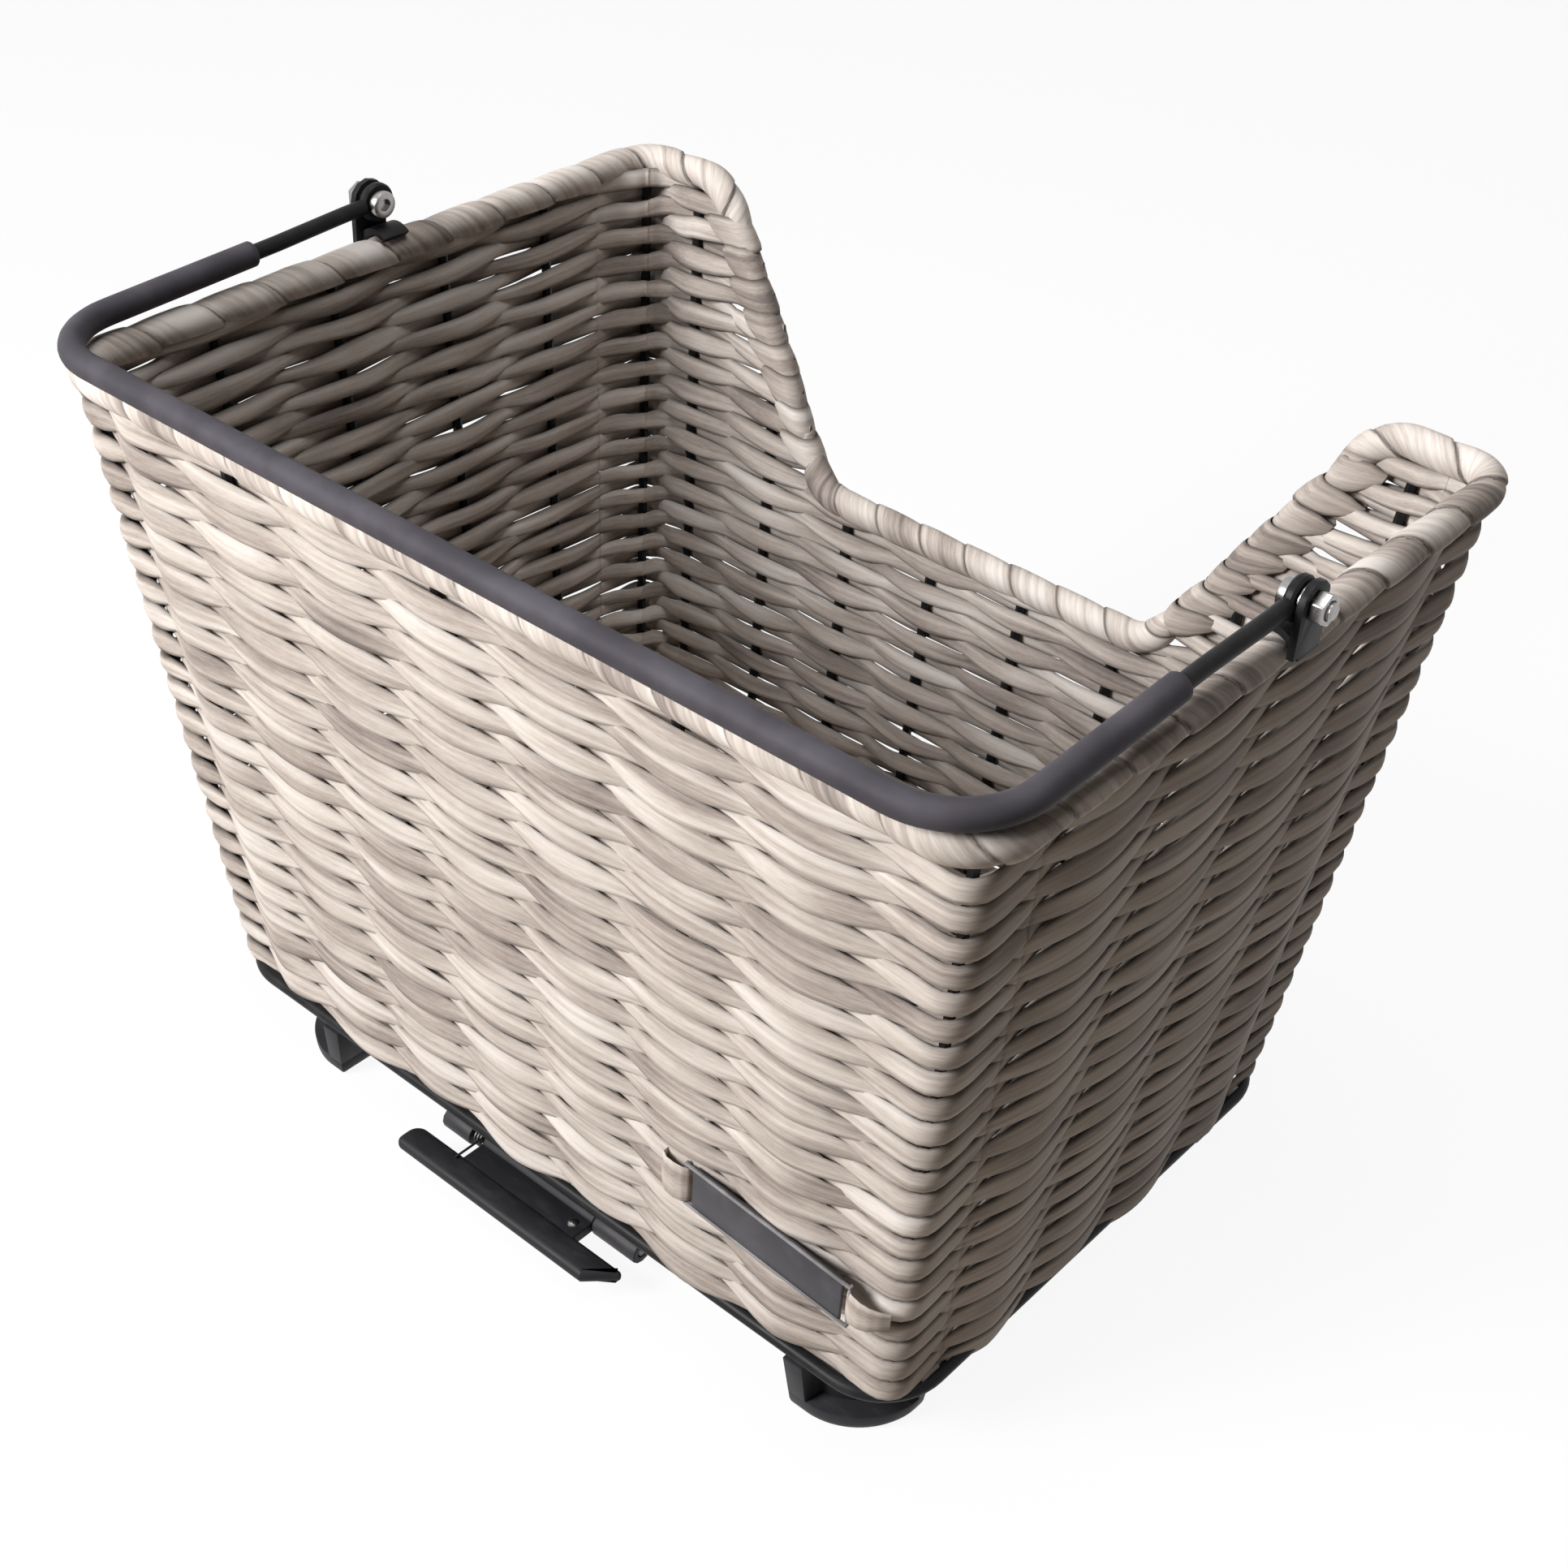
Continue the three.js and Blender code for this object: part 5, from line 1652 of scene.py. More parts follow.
    def build(self) -> None:
        """Makes the wound tape and the folds."""
        winding = self.wound_recipe()
        round_rim, floor, slopes = self.paths()
        rim = self.wound(winding, "rim_wrap", round_rim, self.wrap, self.lip, self.rim_seed)
        settle(rim, "basket", "tape", "rim_binding")
        dip = self.wound(winding, "dip_wrap", floor, self.dip_wrap, self.dip_lip, self.dip_seed)
        settle(dip, "basket", "tape")
        folding = self.fold_recipe()
        for side, slope in zip((1, -1), slopes):
            fold = self.fold(side)
            count = round((slope[1][2] - slope[0][2]) / self.fold_pitch)
            shares = (np.arange(count) + 0.5) / count
            shares = shares[(shares > self.fold_from) & (shares < self.fold_to)]
            points = slope[0] + (slope[1] - slope[0]) * shares[:, None]
            label = "right" if side > 0 else "left"
            piece = folding.make(f"slope_folds_{label}", guide_mesh(points),
                                 {"Fold": fold, "Seed": self.fold_seed + side, "Finish": self.material})
            bpy.data.objects.remove(fold)
            settle(piece, "basket", "tape")


@dataclass
class WireWork:
    """The welded wires that show: the base hoop and its floor wires."""

    form: BasketForm
    material: Finish
    hoop_wire: float = 5.5 * MM
    floor_wire: float = 3 * MM
    sides: int = 16

    def build(self) -> None:
        """Makes the base grid."""
        half = self.form.halves(0.0)
        middle = self.form.centre(0.0)[1]
        z = self.form.base
        corners = [(Vector((sx * half[0], middle + sy * half[1], z)), self.form.base_corner)
                   for sx, sy in ((-1, -1), (1, -1), (1, 1), (-1, 1))]
        hoop = rounded(corners, True)
        pieces = [swept("hoop", hoop, self.hoop_wire / 2, self.sides, self.material, True)]
        for x in self.form.floor_places():
            line = np.array([(x, middle - half[1], z), (x, middle + half[1], z)])
            pieces.append(swept("floor_wire", line, self.floor_wire / 2, self.sides, self.material))
        settle(joined("base_grid_wires", pieces), "basket", "wire", "base_grid")


@dataclass
class Handle:
    """The swinging handle, its lugs and its pivots."""

    nodes: dict[str, Piece]
    paint: Finish
    foam: Finish
    steel: Finish
    pivot: Vector
    rod: float = 6 * MM
    grip: float = 9.58 * MM
    grip_start: float = 60 * MM
    reach: float = 151.5 * MM
    bend: float = 28 * MM
    eye: float = 15 * MM
    eye_thick: float = 3.6 * MM
    eye_bore: float = 6.6 * MM
    bolt_head: float = 10.5 * MM
    bolt_head_height: float = 3.2 * MM
    socket: float = 4.6 * MM
    socket_deep: float = 1.8 * MM
    tab_shows: float = 7.0 * MM
    sleeve_edge: float = 0.5 * MM
    sleeve_end: float = 0.92
    sleeve_step: float = 2.5 * MM
    sleeve_sides: int = 24
    rod_sides: int = 20
    arm_inset: float = 5 * MM
    arm_bend: float = 30 * MM
    arm_start: float = 6.5 * MM
    arm_jog: Pair = (16 * MM, 48 * MM)
    eye_gap: float = 0.3 * MM
    eye_ease: float = 0.6 * MM
    shank: float = 3.0 * MM
    tip_chamfer: float = 0.6 * MM
    lug_ease: float = 0.45 * MM
    washer_ease: float = 0.2 * MM
    nut_ease: float = 0.5 * MM

    def arm(self, side: int, x: float, back: float) -> Vector:
        """Point of an arm, from its distance to the middle and how far it is forward of the pivot."""
        drop = self.pivot.z - (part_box("handle_grip")[0].z + self.grip / 2)
        return Vector((side * x, self.pivot.y - back, self.pivot.z - drop * back / self.reach))

    def run(self, arm_x: float, ends: Sequence[Pair]) -> Array:
        """Line of the handle from one end to the other.

        Args:
            arm_x: The arms' distance from the middle.
            ends: Points of an arm before the bend, each its distance from the middle and from the pivot.

        Returns:
            The line's points.
        """
        left = [(self.arm(-1, x, y), self.arm_bend) for x, y in ends]
        right = [(self.arm(1, x, y), self.arm_bend) for x, y in reversed(ends)]
        bar = [(self.arm(s, arm_x, self.reach), self.bend) for s in (-1, 1)]
        return rounded([*left, *bar, *right], False)

    def build(self) -> None:
        """Makes the rod, grip, lugs, bolts, washers and nuts."""
        arm_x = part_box("handle_grip")[1].x - self.arm_inset
        washer_inner = abs(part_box("pivot_washer_right")[0].x)
        eye_x = washer_inner - self.eye_gap - self.eye_thick / 2
        jog_start, jog_end = self.arm_jog
        rod = self.run(arm_x, [(eye_x, self.arm_start), (eye_x, jog_start), (arm_x, jog_end)])
        pieces = [swept("rod", rod, self.rod / 2, self.rod_sides, self.paint)]
        flat = self.eye_thick / 2
        outer = self.eye / 2
        bore = self.eye_bore / 2
        ring = [(bore, -flat), (outer - self.eye_ease, -flat), (outer, -flat * 0.5), (outer, flat * 0.5),
                (outer - self.eye_ease, flat), (bore, flat), (bore, -flat)]
        for side in (-1, 1):
            place = crosswise(Vector((side * eye_x, self.pivot.y, self.pivot.z)))
            pieces.append(turned("eye", ring, place, self.paint))
        settle(joined("handle_rod_bent", pieces), "handle", "rod", "handle_rod")
        sleeve = self.sleeve(self.run(arm_x, [(arm_x, self.grip_start)]))
        settle(sleeve, "handle", "foam", "handle_grip")
        self.lugs()
        self.pivots()

    def sleeve(self, line: Array) -> Piece:
        """Foam sleeve with cut ends.

        Args:
            line: The line that it follows.

        Returns:
            The sleeve.
        """
        length = float(run_lengths(line)[-1])
        even = np.linspace(0.0, length, round(length / self.sleeve_step))[1:-1]
        run = np.concatenate([[0.0, self.sleeve_edge], even, [length - self.sleeve_edge, length]])
        inward = np.minimum(run, length - run)
        size = self.grip / 2 * np.interp(inward, (0.0, self.sleeve_edge), (self.sleeve_end, 1.0))
        return swept("handle_grip_sleeve", at_lengths(line, run), size, self.sleeve_sides, self.foam)

    def lugs(self) -> None:
        """Lugs with eased edges."""
        for side in ("left", "right"):
            node = f"handle_lug_{side}"
            piece = copied(f"{node}_strip", self.nodes[node], self.paint)
            self.trim(piece, self.pivot.y + self.tab_shows)
            settle(bevelled(piece, self.lug_ease), "basket", "rod", node)

    @staticmethod
    def trim(piece: Piece, limit: float) -> None:
        """Ends a lug's tab where the wound tape takes it in.

        Args:
            piece: The lug.
            limit: How far back the tab reaches.
        """
        with reshaping(piece) as work:
            shape = [*work.verts, *work.edges, *work.faces]
            cut = bmesh.ops.bisect_plane(work, geom=shape, plane_co=(0.0, limit, 0.0),
                                         plane_no=(0.0, 1.0, 0.0), clear_outer=True)
            edges = [part for part in cut["geom_cut"] if isinstance(part, bmesh.types.BMEdge)]
            bmesh.ops.holes_fill(work, edges=edges)
            bmesh.ops.recalc_face_normals(work, faces=work.faces)

    def pivots(self) -> None:
        """Bolts with a round socket, washers and nuts."""
        for side, sign in (("left", -1), ("right", 1)):
            low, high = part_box(f"pivot_bolt_{side}")
            inner = min(abs(low.x), abs(high.x))
            tip = max(abs(low.x), abs(high.x))
            place = crosswise(Vector((sign * inner, self.pivot.y, self.pivot.z)), sign)
            node = f"pivot_bolt_{side}"
            bolt = turned(f"{node}_turned", self.bolt_profile(tip - inner), place, self.steel)
            settle(bolt, "basket", "steel", node)
            for kind, edge in (("washer", self.washer_ease), ("nut", self.nut_ease)):
                node = f"pivot_{kind}_{side}"
                piece = copied(f"{node}_eased", self.nodes[node], self.steel)
                settle(bevelled(piece, edge, segments=2, angle=55.0), "basket", "steel", node)

    def bolt_profile(self, length: float) -> list[Pair]:
        """Radius and height of a bolt's points, from the floor of its socket to its tip.

        Args:
            length: The bolt's length.

        Returns:
            The points.
        """
        head = self.bolt_head / 2
        bore = self.socket / 2
        return [(POLE, self.socket_deep), (bore, self.socket_deep), (bore, 0.25 * MM),
                (bore + 0.3 * MM, 0.0), (head - 0.9 * MM, 0.0), (head - 0.25 * MM, 0.3 * MM),
                (head, 0.9 * MM), (head, self.bolt_head_height), (self.shank, self.bolt_head_height),
                (self.shank, length - self.tip_chamfer), (self.shank - self.tip_chamfer, length),
                (POLE, length)]


@dataclass
class Underside:
    """Feet, rack adapter with its lever, clamp strips and screws."""

    nodes: dict[str, Piece]
    foot: Finish
    adapter: Finish
    lever: Finish
    steel: Finish
    dull: Finish
    bar_depth: float = 12 * MM
    bar_thick: float = 5.6 * MM
    bar_ease: float = 2.4 * MM
    neck: float = 60 * MM
    neck_thick: float = 4.5 * MM
    tail: float = 40 * MM
    tail_thick: float = 3.8 * MM
    nose_thick: float = 4.5 * MM
    nose_rise: float = 1.6 * MM
    barrel: float = 9.4 * MM
    barrel_bore: float = 4.6 * MM
    stud_head: float = 4.6 * MM
    foot_square: float = 1.85
    foot_taper: float = 0.87
    foot_round: float = 31 * MM
    foot_thick: float = 20 * MM
    foot_arm: float = 9 * MM
    foot_short_arm: float = 5 * MM
    foot_sill: float = 7 * MM
    foot_pocket: float = 9 * MM
    sole_round: float = 3 * MM
    sole_angles: tuple[float, ...] = (0, 30, 60, 90)
    foot_overlap: float = 0.5 * MM
    foot_ease: float = 0.5 * MM
    body_ease: float = 0.6 * MM
    strip_ease: float = 0.7 * MM
    lever_ease: float = 0.5 * MM
    lever_corner: float = 0.6 * MM
    bar_corners: tuple[float, ...] = (3.0 * MM, 1.2 * MM, 1.2 * MM, 5.5 * MM)
    bar_overlap: float = 2 * MM
    screw_line: Line = (
        (0.02, -14), (1.6, -13), (2.0, -11), (2.0, 0), (4.0, 0), (4.2, 0.5), (4.0, 1.4), (3.2, 2.1),
        (1.7, 2.45), (1.2, 2.4), (0.9, 1.4), (0.02, 1.3))
    screw_head: float = 2.5 * MM
    screw_seed: int = 4
    small_sides: int = 24
    stud_shank: float = 1.1 * MM
    pin_radii: tuple[float, ...] = (1.6 * MM, 2.0 * MM, 2.0 * MM, 1.6 * MM)
    pin_chamfer: float = 0.5 * MM
    pin_sides: int = 28
    spring_turns: int = 3
    spring_radius: float = 3.4 * MM
    spring_wire: float = 0.5 * MM
    spring_sides: int = 12

    def foot_outline(self, pocket: bool) -> Array:
        """Foot's plan about the centre of its round, for the corner towards +X and -Y.

        Args:
            pocket: Whether the pocket is cut out of it.

        Returns:
            The plan's points.
        """
        r = self.foot_round
        bend = np.radians(np.linspace(-90, 0, 19))
        inner = r - self.foot_pocket if pocket else r
        spoke = (np.abs(np.cos(bend)) ** self.foot_square + np.abs(np.sin(bend)) ** self.foot_square)
        reach = inner * spoke ** (-1 / self.foot_square)
        curve = np.stack([reach * np.cos(bend), reach * np.sin(bend)], 1)
        outer = [(-self.foot_arm, -r), (-0.2 * MM, -r)]
        back = [(r, 0.2 * MM), (r, self.foot_short_arm), (r - self.foot_thick, self.foot_short_arm),
                (-self.foot_arm, -r + self.foot_thick)]
        return np.concatenate([outer, curve, back])

    def feet(self) -> None:
        """Corner shoes with a rounded sole and a pocket above the sill."""
        for name in self.nodes:
            if name.startswith("foot_") and not name.startswith("foot_screw"):
                settle(self.shoe(name), "basket", "foot", name)

    def shoe(self, node: str) -> Piece:
        """One corner shoe.

        Args:
            node: The foot's node.

        Returns:
            The shoe.
        """
        low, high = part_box(node)
        flip = np.array((-1.0 if "left" in node else 1.0, -1.0 if "back" in node else 1.0))
        outer = np.array((low.x if "left" in node else high.x, high.y if "back" in node else low.y))
        centre = outer - flip * np.array((self.foot_round, -self.foot_round))
        plan = self.foot_outline(False)
        cut = self.foot_outline(True)
        middle = plan[:-4].mean(0) * 0.5
        turns = np.radians(self.sole_angles)
        levels = [(self.sole_round * (1 - math.cos(a)), self.sole_round * (1 - math.sin(a))) for a in turns]

        def ring(outline: Array, z: float, inset: float = 0.0) -> Array:
            """Section of the shoe.

            Args:
                outline: The plan that it takes.
                z: Its height.
                inset: How far it is drawn in.

            Returns:
                The section's points.
            """
            scale = self.foot_taper + (1 - self.foot_taper) * z / high.z
            drawn = middle + (outline - middle) * (scale - inset / self.foot_round)
            flat = centre + drawn * flip
            return np.hstack([flat, np.full((len(flat), 1), z)])

        sole = [ring(plan, z, inset) for z, inset in [*levels, (self.foot_sill, 0.0)]]
        upper = [ring(cut, z) for z in (self.foot_sill - self.foot_overlap, high.z)]
        halves = [lofted("sole", sole, self.foot, crease=50.0), lofted("upper", upper, self.foot)]
        return joined(f"{node}_shoe", [bevelled(half, self.foot_ease, segments=2) for half in halves])

    def eased(self, node: str, body: str, slot: str, width: float, material: Finish) -> None:
        """Puts a copy with rounded edges in a node's place."""
        piece = bevelled(copied(f"{node}_moulded", self.nodes[node], material), width)
        settle(piece, body, slot, node)

    def screw(self) -> Piece:
        """Pan-head screw standing on its own origin, head up."""
        profile = [(radius * MM, height * MM) for radius, height in self.screw_line]
        return turned("screw", profile, Matrix.Identity(4), self.steel, self.small_sides)

    @staticmethod
    def screw_recipe() -> Recipe:
        """Recipe that sets a screw at each guide point, each turned its own way.

        Returns:
            The recipe. Its guide holds a point for each screw.
        """
        r = Recipe("floor_screws", {"Screw": Socket.THING, "Seed": Socket.COUNT})
        turn = r.draw((0.0, 0.0, 0.0), (0.0, 0.0, 2 * math.pi), r["Seed"])
        r.end(r.scatter("Screw", r["Geometry"], Rotation=turn))
        return r

    def screws(self) -> None:
        """The screws of the feet and the adapter."""
        names = sorted(n for n in self.nodes if "screw" in n)
        seats = []
        for name in names:
            x, y, _ = middle_of(name)
            seats.append((x, y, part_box(name)[1].z - self.screw_head))
        screw = self.screw()
        piece = self.screw_recipe().make("floor_screws", guide_mesh(np.array(seats)),
                                         {"Screw": screw, "Seed": self.screw_seed, "Finish": self.steel})
        bpy.data.objects.remove(screw)
        settle(piece, "basket", "steel", *names)

    def build(self) -> None:
        """Makes all that lies under and on the floor."""
        self.feet()
        self.eased("adapter_body", "basket", "adapter", self.body_ease, self.adapter)
        self.release_lever()
        for row in ("front", "back"):
            self.eased(f"clamp_strip_{row}", "basket", "adapter", self.strip_ease, self.adapter)
        self.stud()
        self.screws()
        self.pin_and_spring()

    def release_lever(self) -> None:
        """Lever: a finger bar with rounded ends and a bevelled beak, neck, barrel, tail and latch nose."""
        low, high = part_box("release_lever")
        _, y, z = middle_of("lever_pin")
        depth = self.bar_depth
        corners = ((low.x, low.y), (high.x - depth, low.y), (high.x, low.y + depth), (low.x, low.y + depth))
        bends = [(Vector((*corner, 0.0)), turn) for corner, turn in zip(corners, self.bar_corners)]
        plan = rounded(bends, True, steps=6)[:, :2]
        half = self.bar_thick / 2
        neck = self.neck / 2
        tail = self.tail / 2
        tail_half = self.tail_thick / 2
        neck_half = self.neck_thick / 2
        pieces = [slab("bar", plan, z - half, z + half, self.bar_ease, self.lever)]
        for name, start, end, under, above in (
                ("neck", (-neck, low.y + depth - self.bar_overlap), (neck, y), z - neck_half, z + neck_half),
                ("tail", (-tail, y), (tail, high.y), z - tail_half, z + tail_half),
                ("nose", (-tail, high.y - self.nose_thick), (tail, high.y), z,
                 z + tail_half + self.nose_rise)):
            outline = box_plan(start, end, self.lever_corner)
            pieces.append(slab(name, outline, under, above, self.lever_ease, self.lever))
        outer = self.barrel / 2
        bore = self.barrel_bore / 2
        ease = self.lever_ease
        ring = [(bore, -neck), (outer - ease, -neck), (outer, ease - neck), (outer, neck - ease),
                (outer - ease, neck), (bore, neck), (bore, -neck)]
        pieces.append(turned("barrel", ring, crosswise(Vector((0.0, y, z))), self.lever))
        settle(joined("release_lever_moulded", pieces), "lever", "adapter", "release_lever")

    def stud(self) -> None:
        """Domed stud in the lever's neck."""
        low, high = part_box("lever_stud")
        x, y, _ = middle_of("lever_stud")
        rise = high.z - low.z
        head = self.stud_head / 2
        shank = self.stud_shank
        profile = [(POLE, 0.0), (shank, 0.0), (shank, rise * 0.6), (head, rise * 0.6),
                   (head * 0.96, rise * 0.75), (head * 0.7, rise * 0.93), (head * 0.35, rise), (POLE, rise)]
        place = Matrix.Translation((x, y, low.z))
        stud = turned("lever_stud_moulded", profile, place, self.steel, self.small_sides)
        settle(stud, "lever", "steel", "lever_stud")

    def pin_and_spring(self) -> None:
        """Lever pin with chamfered ends, and the torsion spring round it."""
        low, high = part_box("lever_pin")
        _, y, z = middle_of("lever_pin")
        chamfer = self.pin_chamfer
        ends = np.array([low.x, low.x + chamfer, high.x - chamfer, high.x])
        line = np.stack([ends, np.full(4, y), np.full(4, z)], 1)
        pin = swept("lever_pin_turned", line, self.pin_radii, self.pin_sides, self.dull)
        settle(pin, "basket", "steel", "lever_pin")
        coil_low, coil_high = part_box("lever_spring")
        coil = self.spring_radius
        wire = self.spring_wire
        angles = np.linspace(0.0, self.spring_turns * 2 * math.pi, self.spring_turns * self.small_sides + 1)
        x = np.linspace(coil_low.x + wire, coil_high.x - wire, len(angles))
        wound = np.stack([x, y - coil * np.sin(angles), z + coil * np.cos(angles)], 1)
        first = np.array([[x[0], coil_high.y - wire, coil_high.z - wire]])
        last = np.array([[x[-1], coil_low.y + wire, z + coil]])
        line = np.concatenate([first, wound, last])
        spring = swept("lever_spring_wound", line, wire, self.spring_sides, self.dull)
        settle(spring, "lever", "steel", "lever_spring")


@dataclass
class Badge:
    """Bare plate on the front wall, with a raised lip along its long edges."""

    node: Piece
    plate: Finish
    lip: Finish
    tape: Finish
    length: float = 73 * MM
    height: float = 22 * MM
    thick: float = 1.5 * MM
    lip_wide: float = 1.1 * MM
    lip_proud: float = 0.5 * MM
    slot: float = 3.6 * MM
    strap_thick: float = 1.3 * MM
    strap_sides: int = 16
    strap_steps: int = 25
    strap_edge: float = 0.7
    strap_run: float = 30 * MM
    strap_half: float = 6 * MM
    strap_seed: float = 17.0
    plate_ease: float = 0.4 * MM
    end_ease: float = 0.3 * MM
    lip_ease: float = 0.35 * MM
    left_line: Line = (
        (-2.2, -2.0), (-1.7, 0.6), (0.0, 1.9), (3.5, 2.6), (7.0, 2.4), (9.4, 1.0), (10.0, -4.0))
    left_heights: tuple[float, ...] = (8.0, 8.8, 9.4, 9.6, 9.4, 9.0, 8.4)
    right_line: Line = (
        (-2.0, -2.2), (-1.5, -0.4), (0.5, 0.9), (4.0, 1.0), (7.5, 0.0), (10.5, -2.0), (13.0, -4.5))
    right_heights: tuple[float, ...] = (7.2, 7.8, 8.0, 7.4, 6.4, 5.2, 4.0)

    def build(self) -> None:
        """Makes the plate and its lips in the plate's own directions, and the straps at its ends."""
        points = np.array([tuple(v.co) for v in self.node.data.vertices])
        centre = points.mean(0)
        axes = np.linalg.svd(points - centre, full_matrices=False)[2]
        along = axes[0] * np.sign(axes[0][0])
        up = axes[1] * np.sign(axes[1][2])
        out = np.cross(along, up)
        place = Matrix.Translation(centre) @ Matrix(np.column_stack([along, up, out]).tolist()).to_4x4()

        def bar(name: str, low: Sequence[float], high: Sequence[float], material: Finish,
                ease: float) -> Piece:
            """Bar with rounded edges.

            Args:
                name: The bar's name.
                low: Its lowest corner, in the plate's own directions.
                high: Its highest corner.
                material: Its finish.
                ease: Width of the rounding.

            Returns:
                The bar.
            """
            corners = ((low[0], low[1]), (high[0], low[1]), (high[0], high[1]), (low[0], high[1]))
            rings = [[place @ Vector((x, y, z)) for x, y in corners] for z in (low[2], high[2])]
            return bevelled(lofted(name, rings, material), ease)

        half = (self.length / 2, self.height / 2, self.thick / 2)
        face = half[0] - self.slot
        pieces = [bar("plate", (-face, -half[1], -half[2]), (face, half[1], half[2]), self.plate,
                      self.plate_ease)]
        for end in (-half[0], half[0] - self.lip_wide):
            pieces.append(bar("end", (end, -half[1], -half[2]), (end + self.lip_wide, half[1], half[2]),
                              self.lip, self.end_ease))
        for side in (-1, 1):
            edge = sorted((side * half[1], side * (half[1] - self.lip_wide)))
            pieces.append(bar("lip", (-half[0], edge[0], 0.0), (half[0], edge[1], half[2] + self.lip_proud),
                              self.lip, self.lip_ease))
        settle(joined("badge_plate_bare", pieces), "basket", "badge", "badge_plate")
        for name, side, line, heights in (("left", -1, self.left_line, self.left_heights),
                                          ("right", 1, self.right_line, self.right_heights)):
            path = np.array([(side * (half[0] + x * MM), out * MM) for x, out in line])
            settle(self.strap(f"badge_strap_{name}", path, np.array(heights) * MM, place), "basket", "tape")

    def strap(self, name: str, path: Array, heights: Array, place: Matrix) -> Piece:
        """Tape that comes out through a slot at the plate's end and goes back into the weave.

        Args:
            name: The piece's name.
            path: Its way along and out of the plate's face.
            heights: Half its width at each point of the path.
            place: Where the plate's own axes lie in the frame.

        Returns:
            The strap.
        """
        steps = np.linspace(0, len(path) - 1, self.strap_steps)
        knots = np.arange(len(path))
        smooth = np.stack([np.interp(steps, knots, path[:, k]) for k in (0, 1)], 1)
        tall = np.interp(steps, knots, heights)
        rings = strip_rings(smooth, tall, self.strap_thick, self.strap_sides, self.strap_edge)
        points = [[place @ Vector((x, up, z)) for x, z, up in ring] for ring in rings]
        piece = lofted(name, points, self.tape)
        mark_tape(piece, rings, self.strap_run, self.strap_half, self.strap_seed)
        return piece


@dataclass(frozen=True)
class Lamp:
    """A soft square lamp."""

    name: str
    place: Triple
    power: float
    size: float


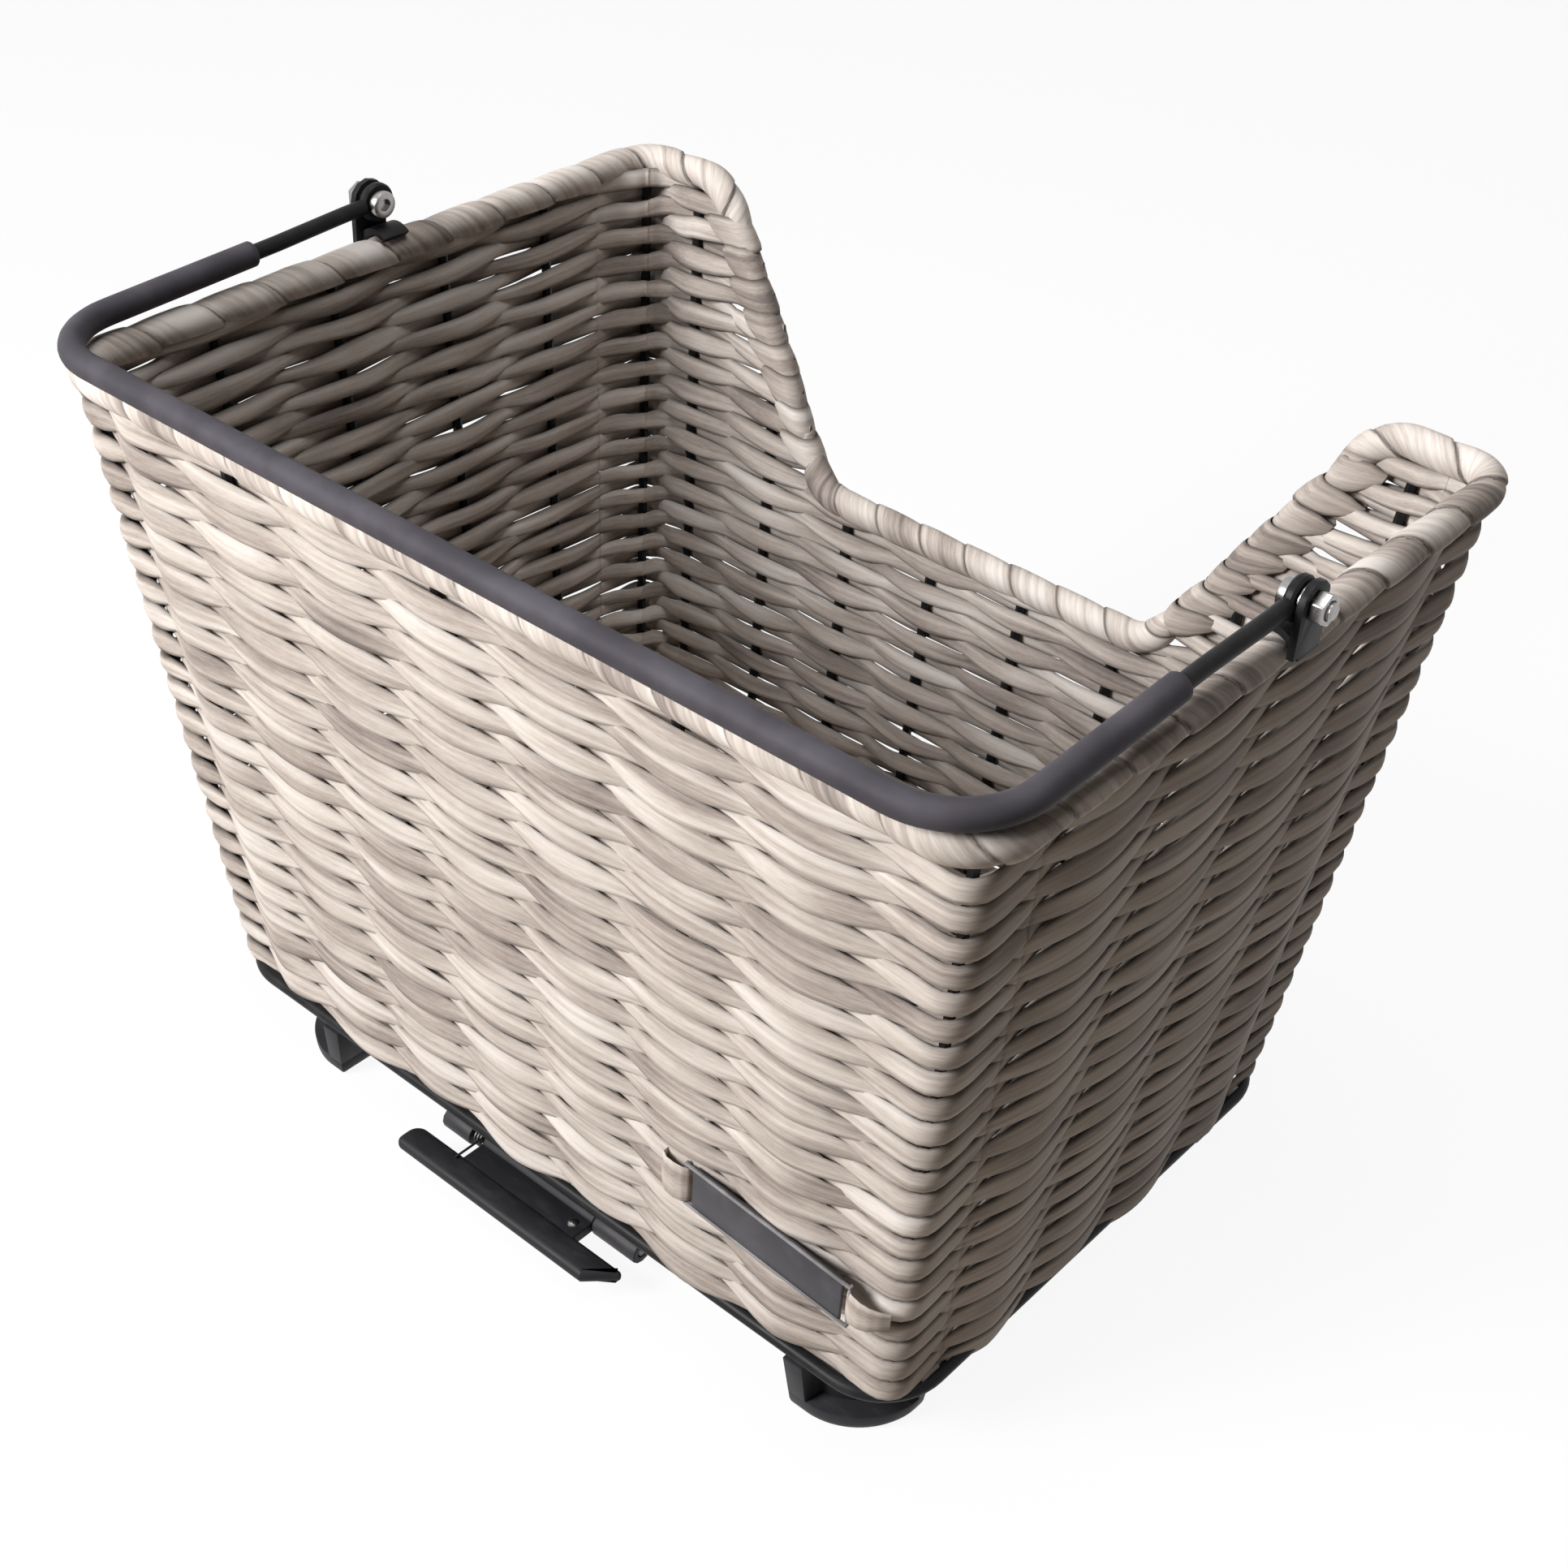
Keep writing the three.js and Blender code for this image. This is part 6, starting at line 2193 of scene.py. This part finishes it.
@dataclass
class Studio:
    """Floor, light and the camera at the photograph's place."""

    frame: int = 1932
    place: Triple = (463.6 * MM, -534.85 * MM, 657.3 * MM)
    ahead: Triple = (-0.5180, 0.6191, -0.5903)
    right: Triple = (0.7496, 0.6609, 0.0353)
    focal_px: float = 2857.1
    centre_px: Pair = (971.5, 964.95)
    sensor: float = 36.0
    floor_size: float = 8.0
    floor_level: float = -0.3 * MM
    fill: float = 0.034
    fill_colour: Triple = (1.0, 0.84, 0.70)
    near: float = 10 * MM
    aim: Triple = (0.0, 0.0, 0.15)
    lamps: tuple[Lamp, ...] = (Lamp("key", (-0.60, -1.50, 1.15), 53.5, 0.7),
                               Lamp("top", (0.15, 0.0, 2.2), 22.0, 1.0))

    def camera(self) -> None:
        """Camera fitted to the photograph."""
        data = bpy.data.cameras.new("camera")
        data.sensor_width = self.sensor
        data.lens = self.focal_px / self.frame * self.sensor
        data.shift_x = 0.5 - self.centre_px[0] / self.frame
        data.shift_y = self.centre_px[1] / self.frame - 0.5
        data.clip_start = self.near
        camera = link(bpy.data.objects.new("camera", data))
        ahead = Vector(self.ahead).normalized()
        right = Vector(self.right)
        right = (right - ahead * right.dot(ahead)).normalized()
        turn = Matrix((right, right.cross(ahead), -ahead)).transposed()
        camera.matrix_world = Matrix.Translation(self.place) @ turn.to_4x4()
        bpy.context.scene.camera = camera

    def light(self, lamp: Lamp) -> None:
        """Sets up a lamp that faces the basket.

        Args:
            lamp: The lamp.
        """
        data = bpy.data.lights.new(lamp.name, "AREA")
        data.energy = lamp.power
        data.size = lamp.size
        light = link(bpy.data.objects.new(lamp.name, data))
        light.location = lamp.place
        light.rotation_euler = (Vector(self.aim) - Vector(lamp.place)).to_track_quat("-Z", "Y").to_euler()

    def floor(self) -> None:
        """Pale floor."""
        half = self.floor_size / 2
        plan = ((-half, -half), (half, -half), (half, half), (-half, half))
        corners = [(x, y, self.floor_level) for x, y in plan]
        floor = mesh_piece("studio_floor", corners, [(0, 1, 2, 3)], StudioFinish().material())

    def world(self) -> None:
        """Even white surroundings, white to the camera."""
        world = bpy.data.worlds.new("studio")
        bpy.context.scene.world = world
        world.use_nodes = True
        g = Graph(world.node_tree)
        g.tree.nodes.clear()
        strength = seen(g) * (1.0 - self.fill) + self.fill
        tint = g.mix(seen(g), (*self.fill_colour, 1.0), (1.0, 1.0, 1.0, 1.0))
        light = g.add("ShaderNodeBackground", None, {"Color": tint, "Strength": strength})
        output = g.tree.nodes.new("ShaderNodeOutputWorld")
        g.tree.links.new(light.socket, output.inputs["Surface"])

    def build(self) -> None:
        """Makes the studio."""
        bpy.context.scene.view_settings.view_transform = "Standard"
        self.camera()
        self.floor()
        self.world()
        for lamp in self.lamps:
            self.light(lamp)


def main() -> None:
    """Builds every sub-assembly round the frame."""
    logging.basicConfig(level=logging.INFO, format="%(name)s: %(message)s")
    for thing in list(bpy.data.objects):
        bpy.data.objects.remove(thing)
    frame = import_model()
    nodes = frame["nodes"]
    swing = next(j for j in frame["joints"] if j["name"] == "handle_swing")
    pivot = Vector(swing["pos_m"])
    grid_low, grid_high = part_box("base_grid")
    form = BasketForm(middle=pivot.y, base=(grid_low.z + grid_high.z) / 2)

    tape = TapeFinish().material()
    wire = PaintFinish("wire_paint", (0.012, 0.012, 0.013), 0.42, gloss=0.12).material()
    rod = PaintFinish("rod_paint", (0.010, 0.010, 0.011), 0.44, gloss=0.1).material()
    foam = FoamFinish().material()
    steel = SteelFinish().material()
    dull = SteelFinish("dark_steel", (0.12, 0.118, 0.116), 0.42).material()
    adapter = MouldedFinish("adapter_plastic", (0.030, 0.028, 0.032), 0.5).material()
    lever = MouldedFinish("lever_plastic", (0.011, 0.011, 0.013), 0.55).material()
    foot = MouldedFinish("foot_plastic", (0.022, 0.021, 0.024), 0.5).material()
    plate = PaintFinish("badge_paint", (0.036, 0.034, 0.039), 0.4).material()
    lip = PaintFinish("badge_lip", (0.16, 0.155, 0.16), 0.32).material()

    Studio().build()
    Weave(form, tape).build()
    RimWork(form, tape).build()
    WireWork(form, wire).build()
    Handle(nodes, rod, foam, steel, pivot).build()
    Underside(nodes, foot, adapter, lever, steel, dull).build()
    Badge(nodes["badge_plate"], plate, lip, tape).build()
    nodes["stake_frame"].data.materials.clear()
    nodes["stake_frame"].data.materials.append(wire)


if __name__ == "__main__":
    main()
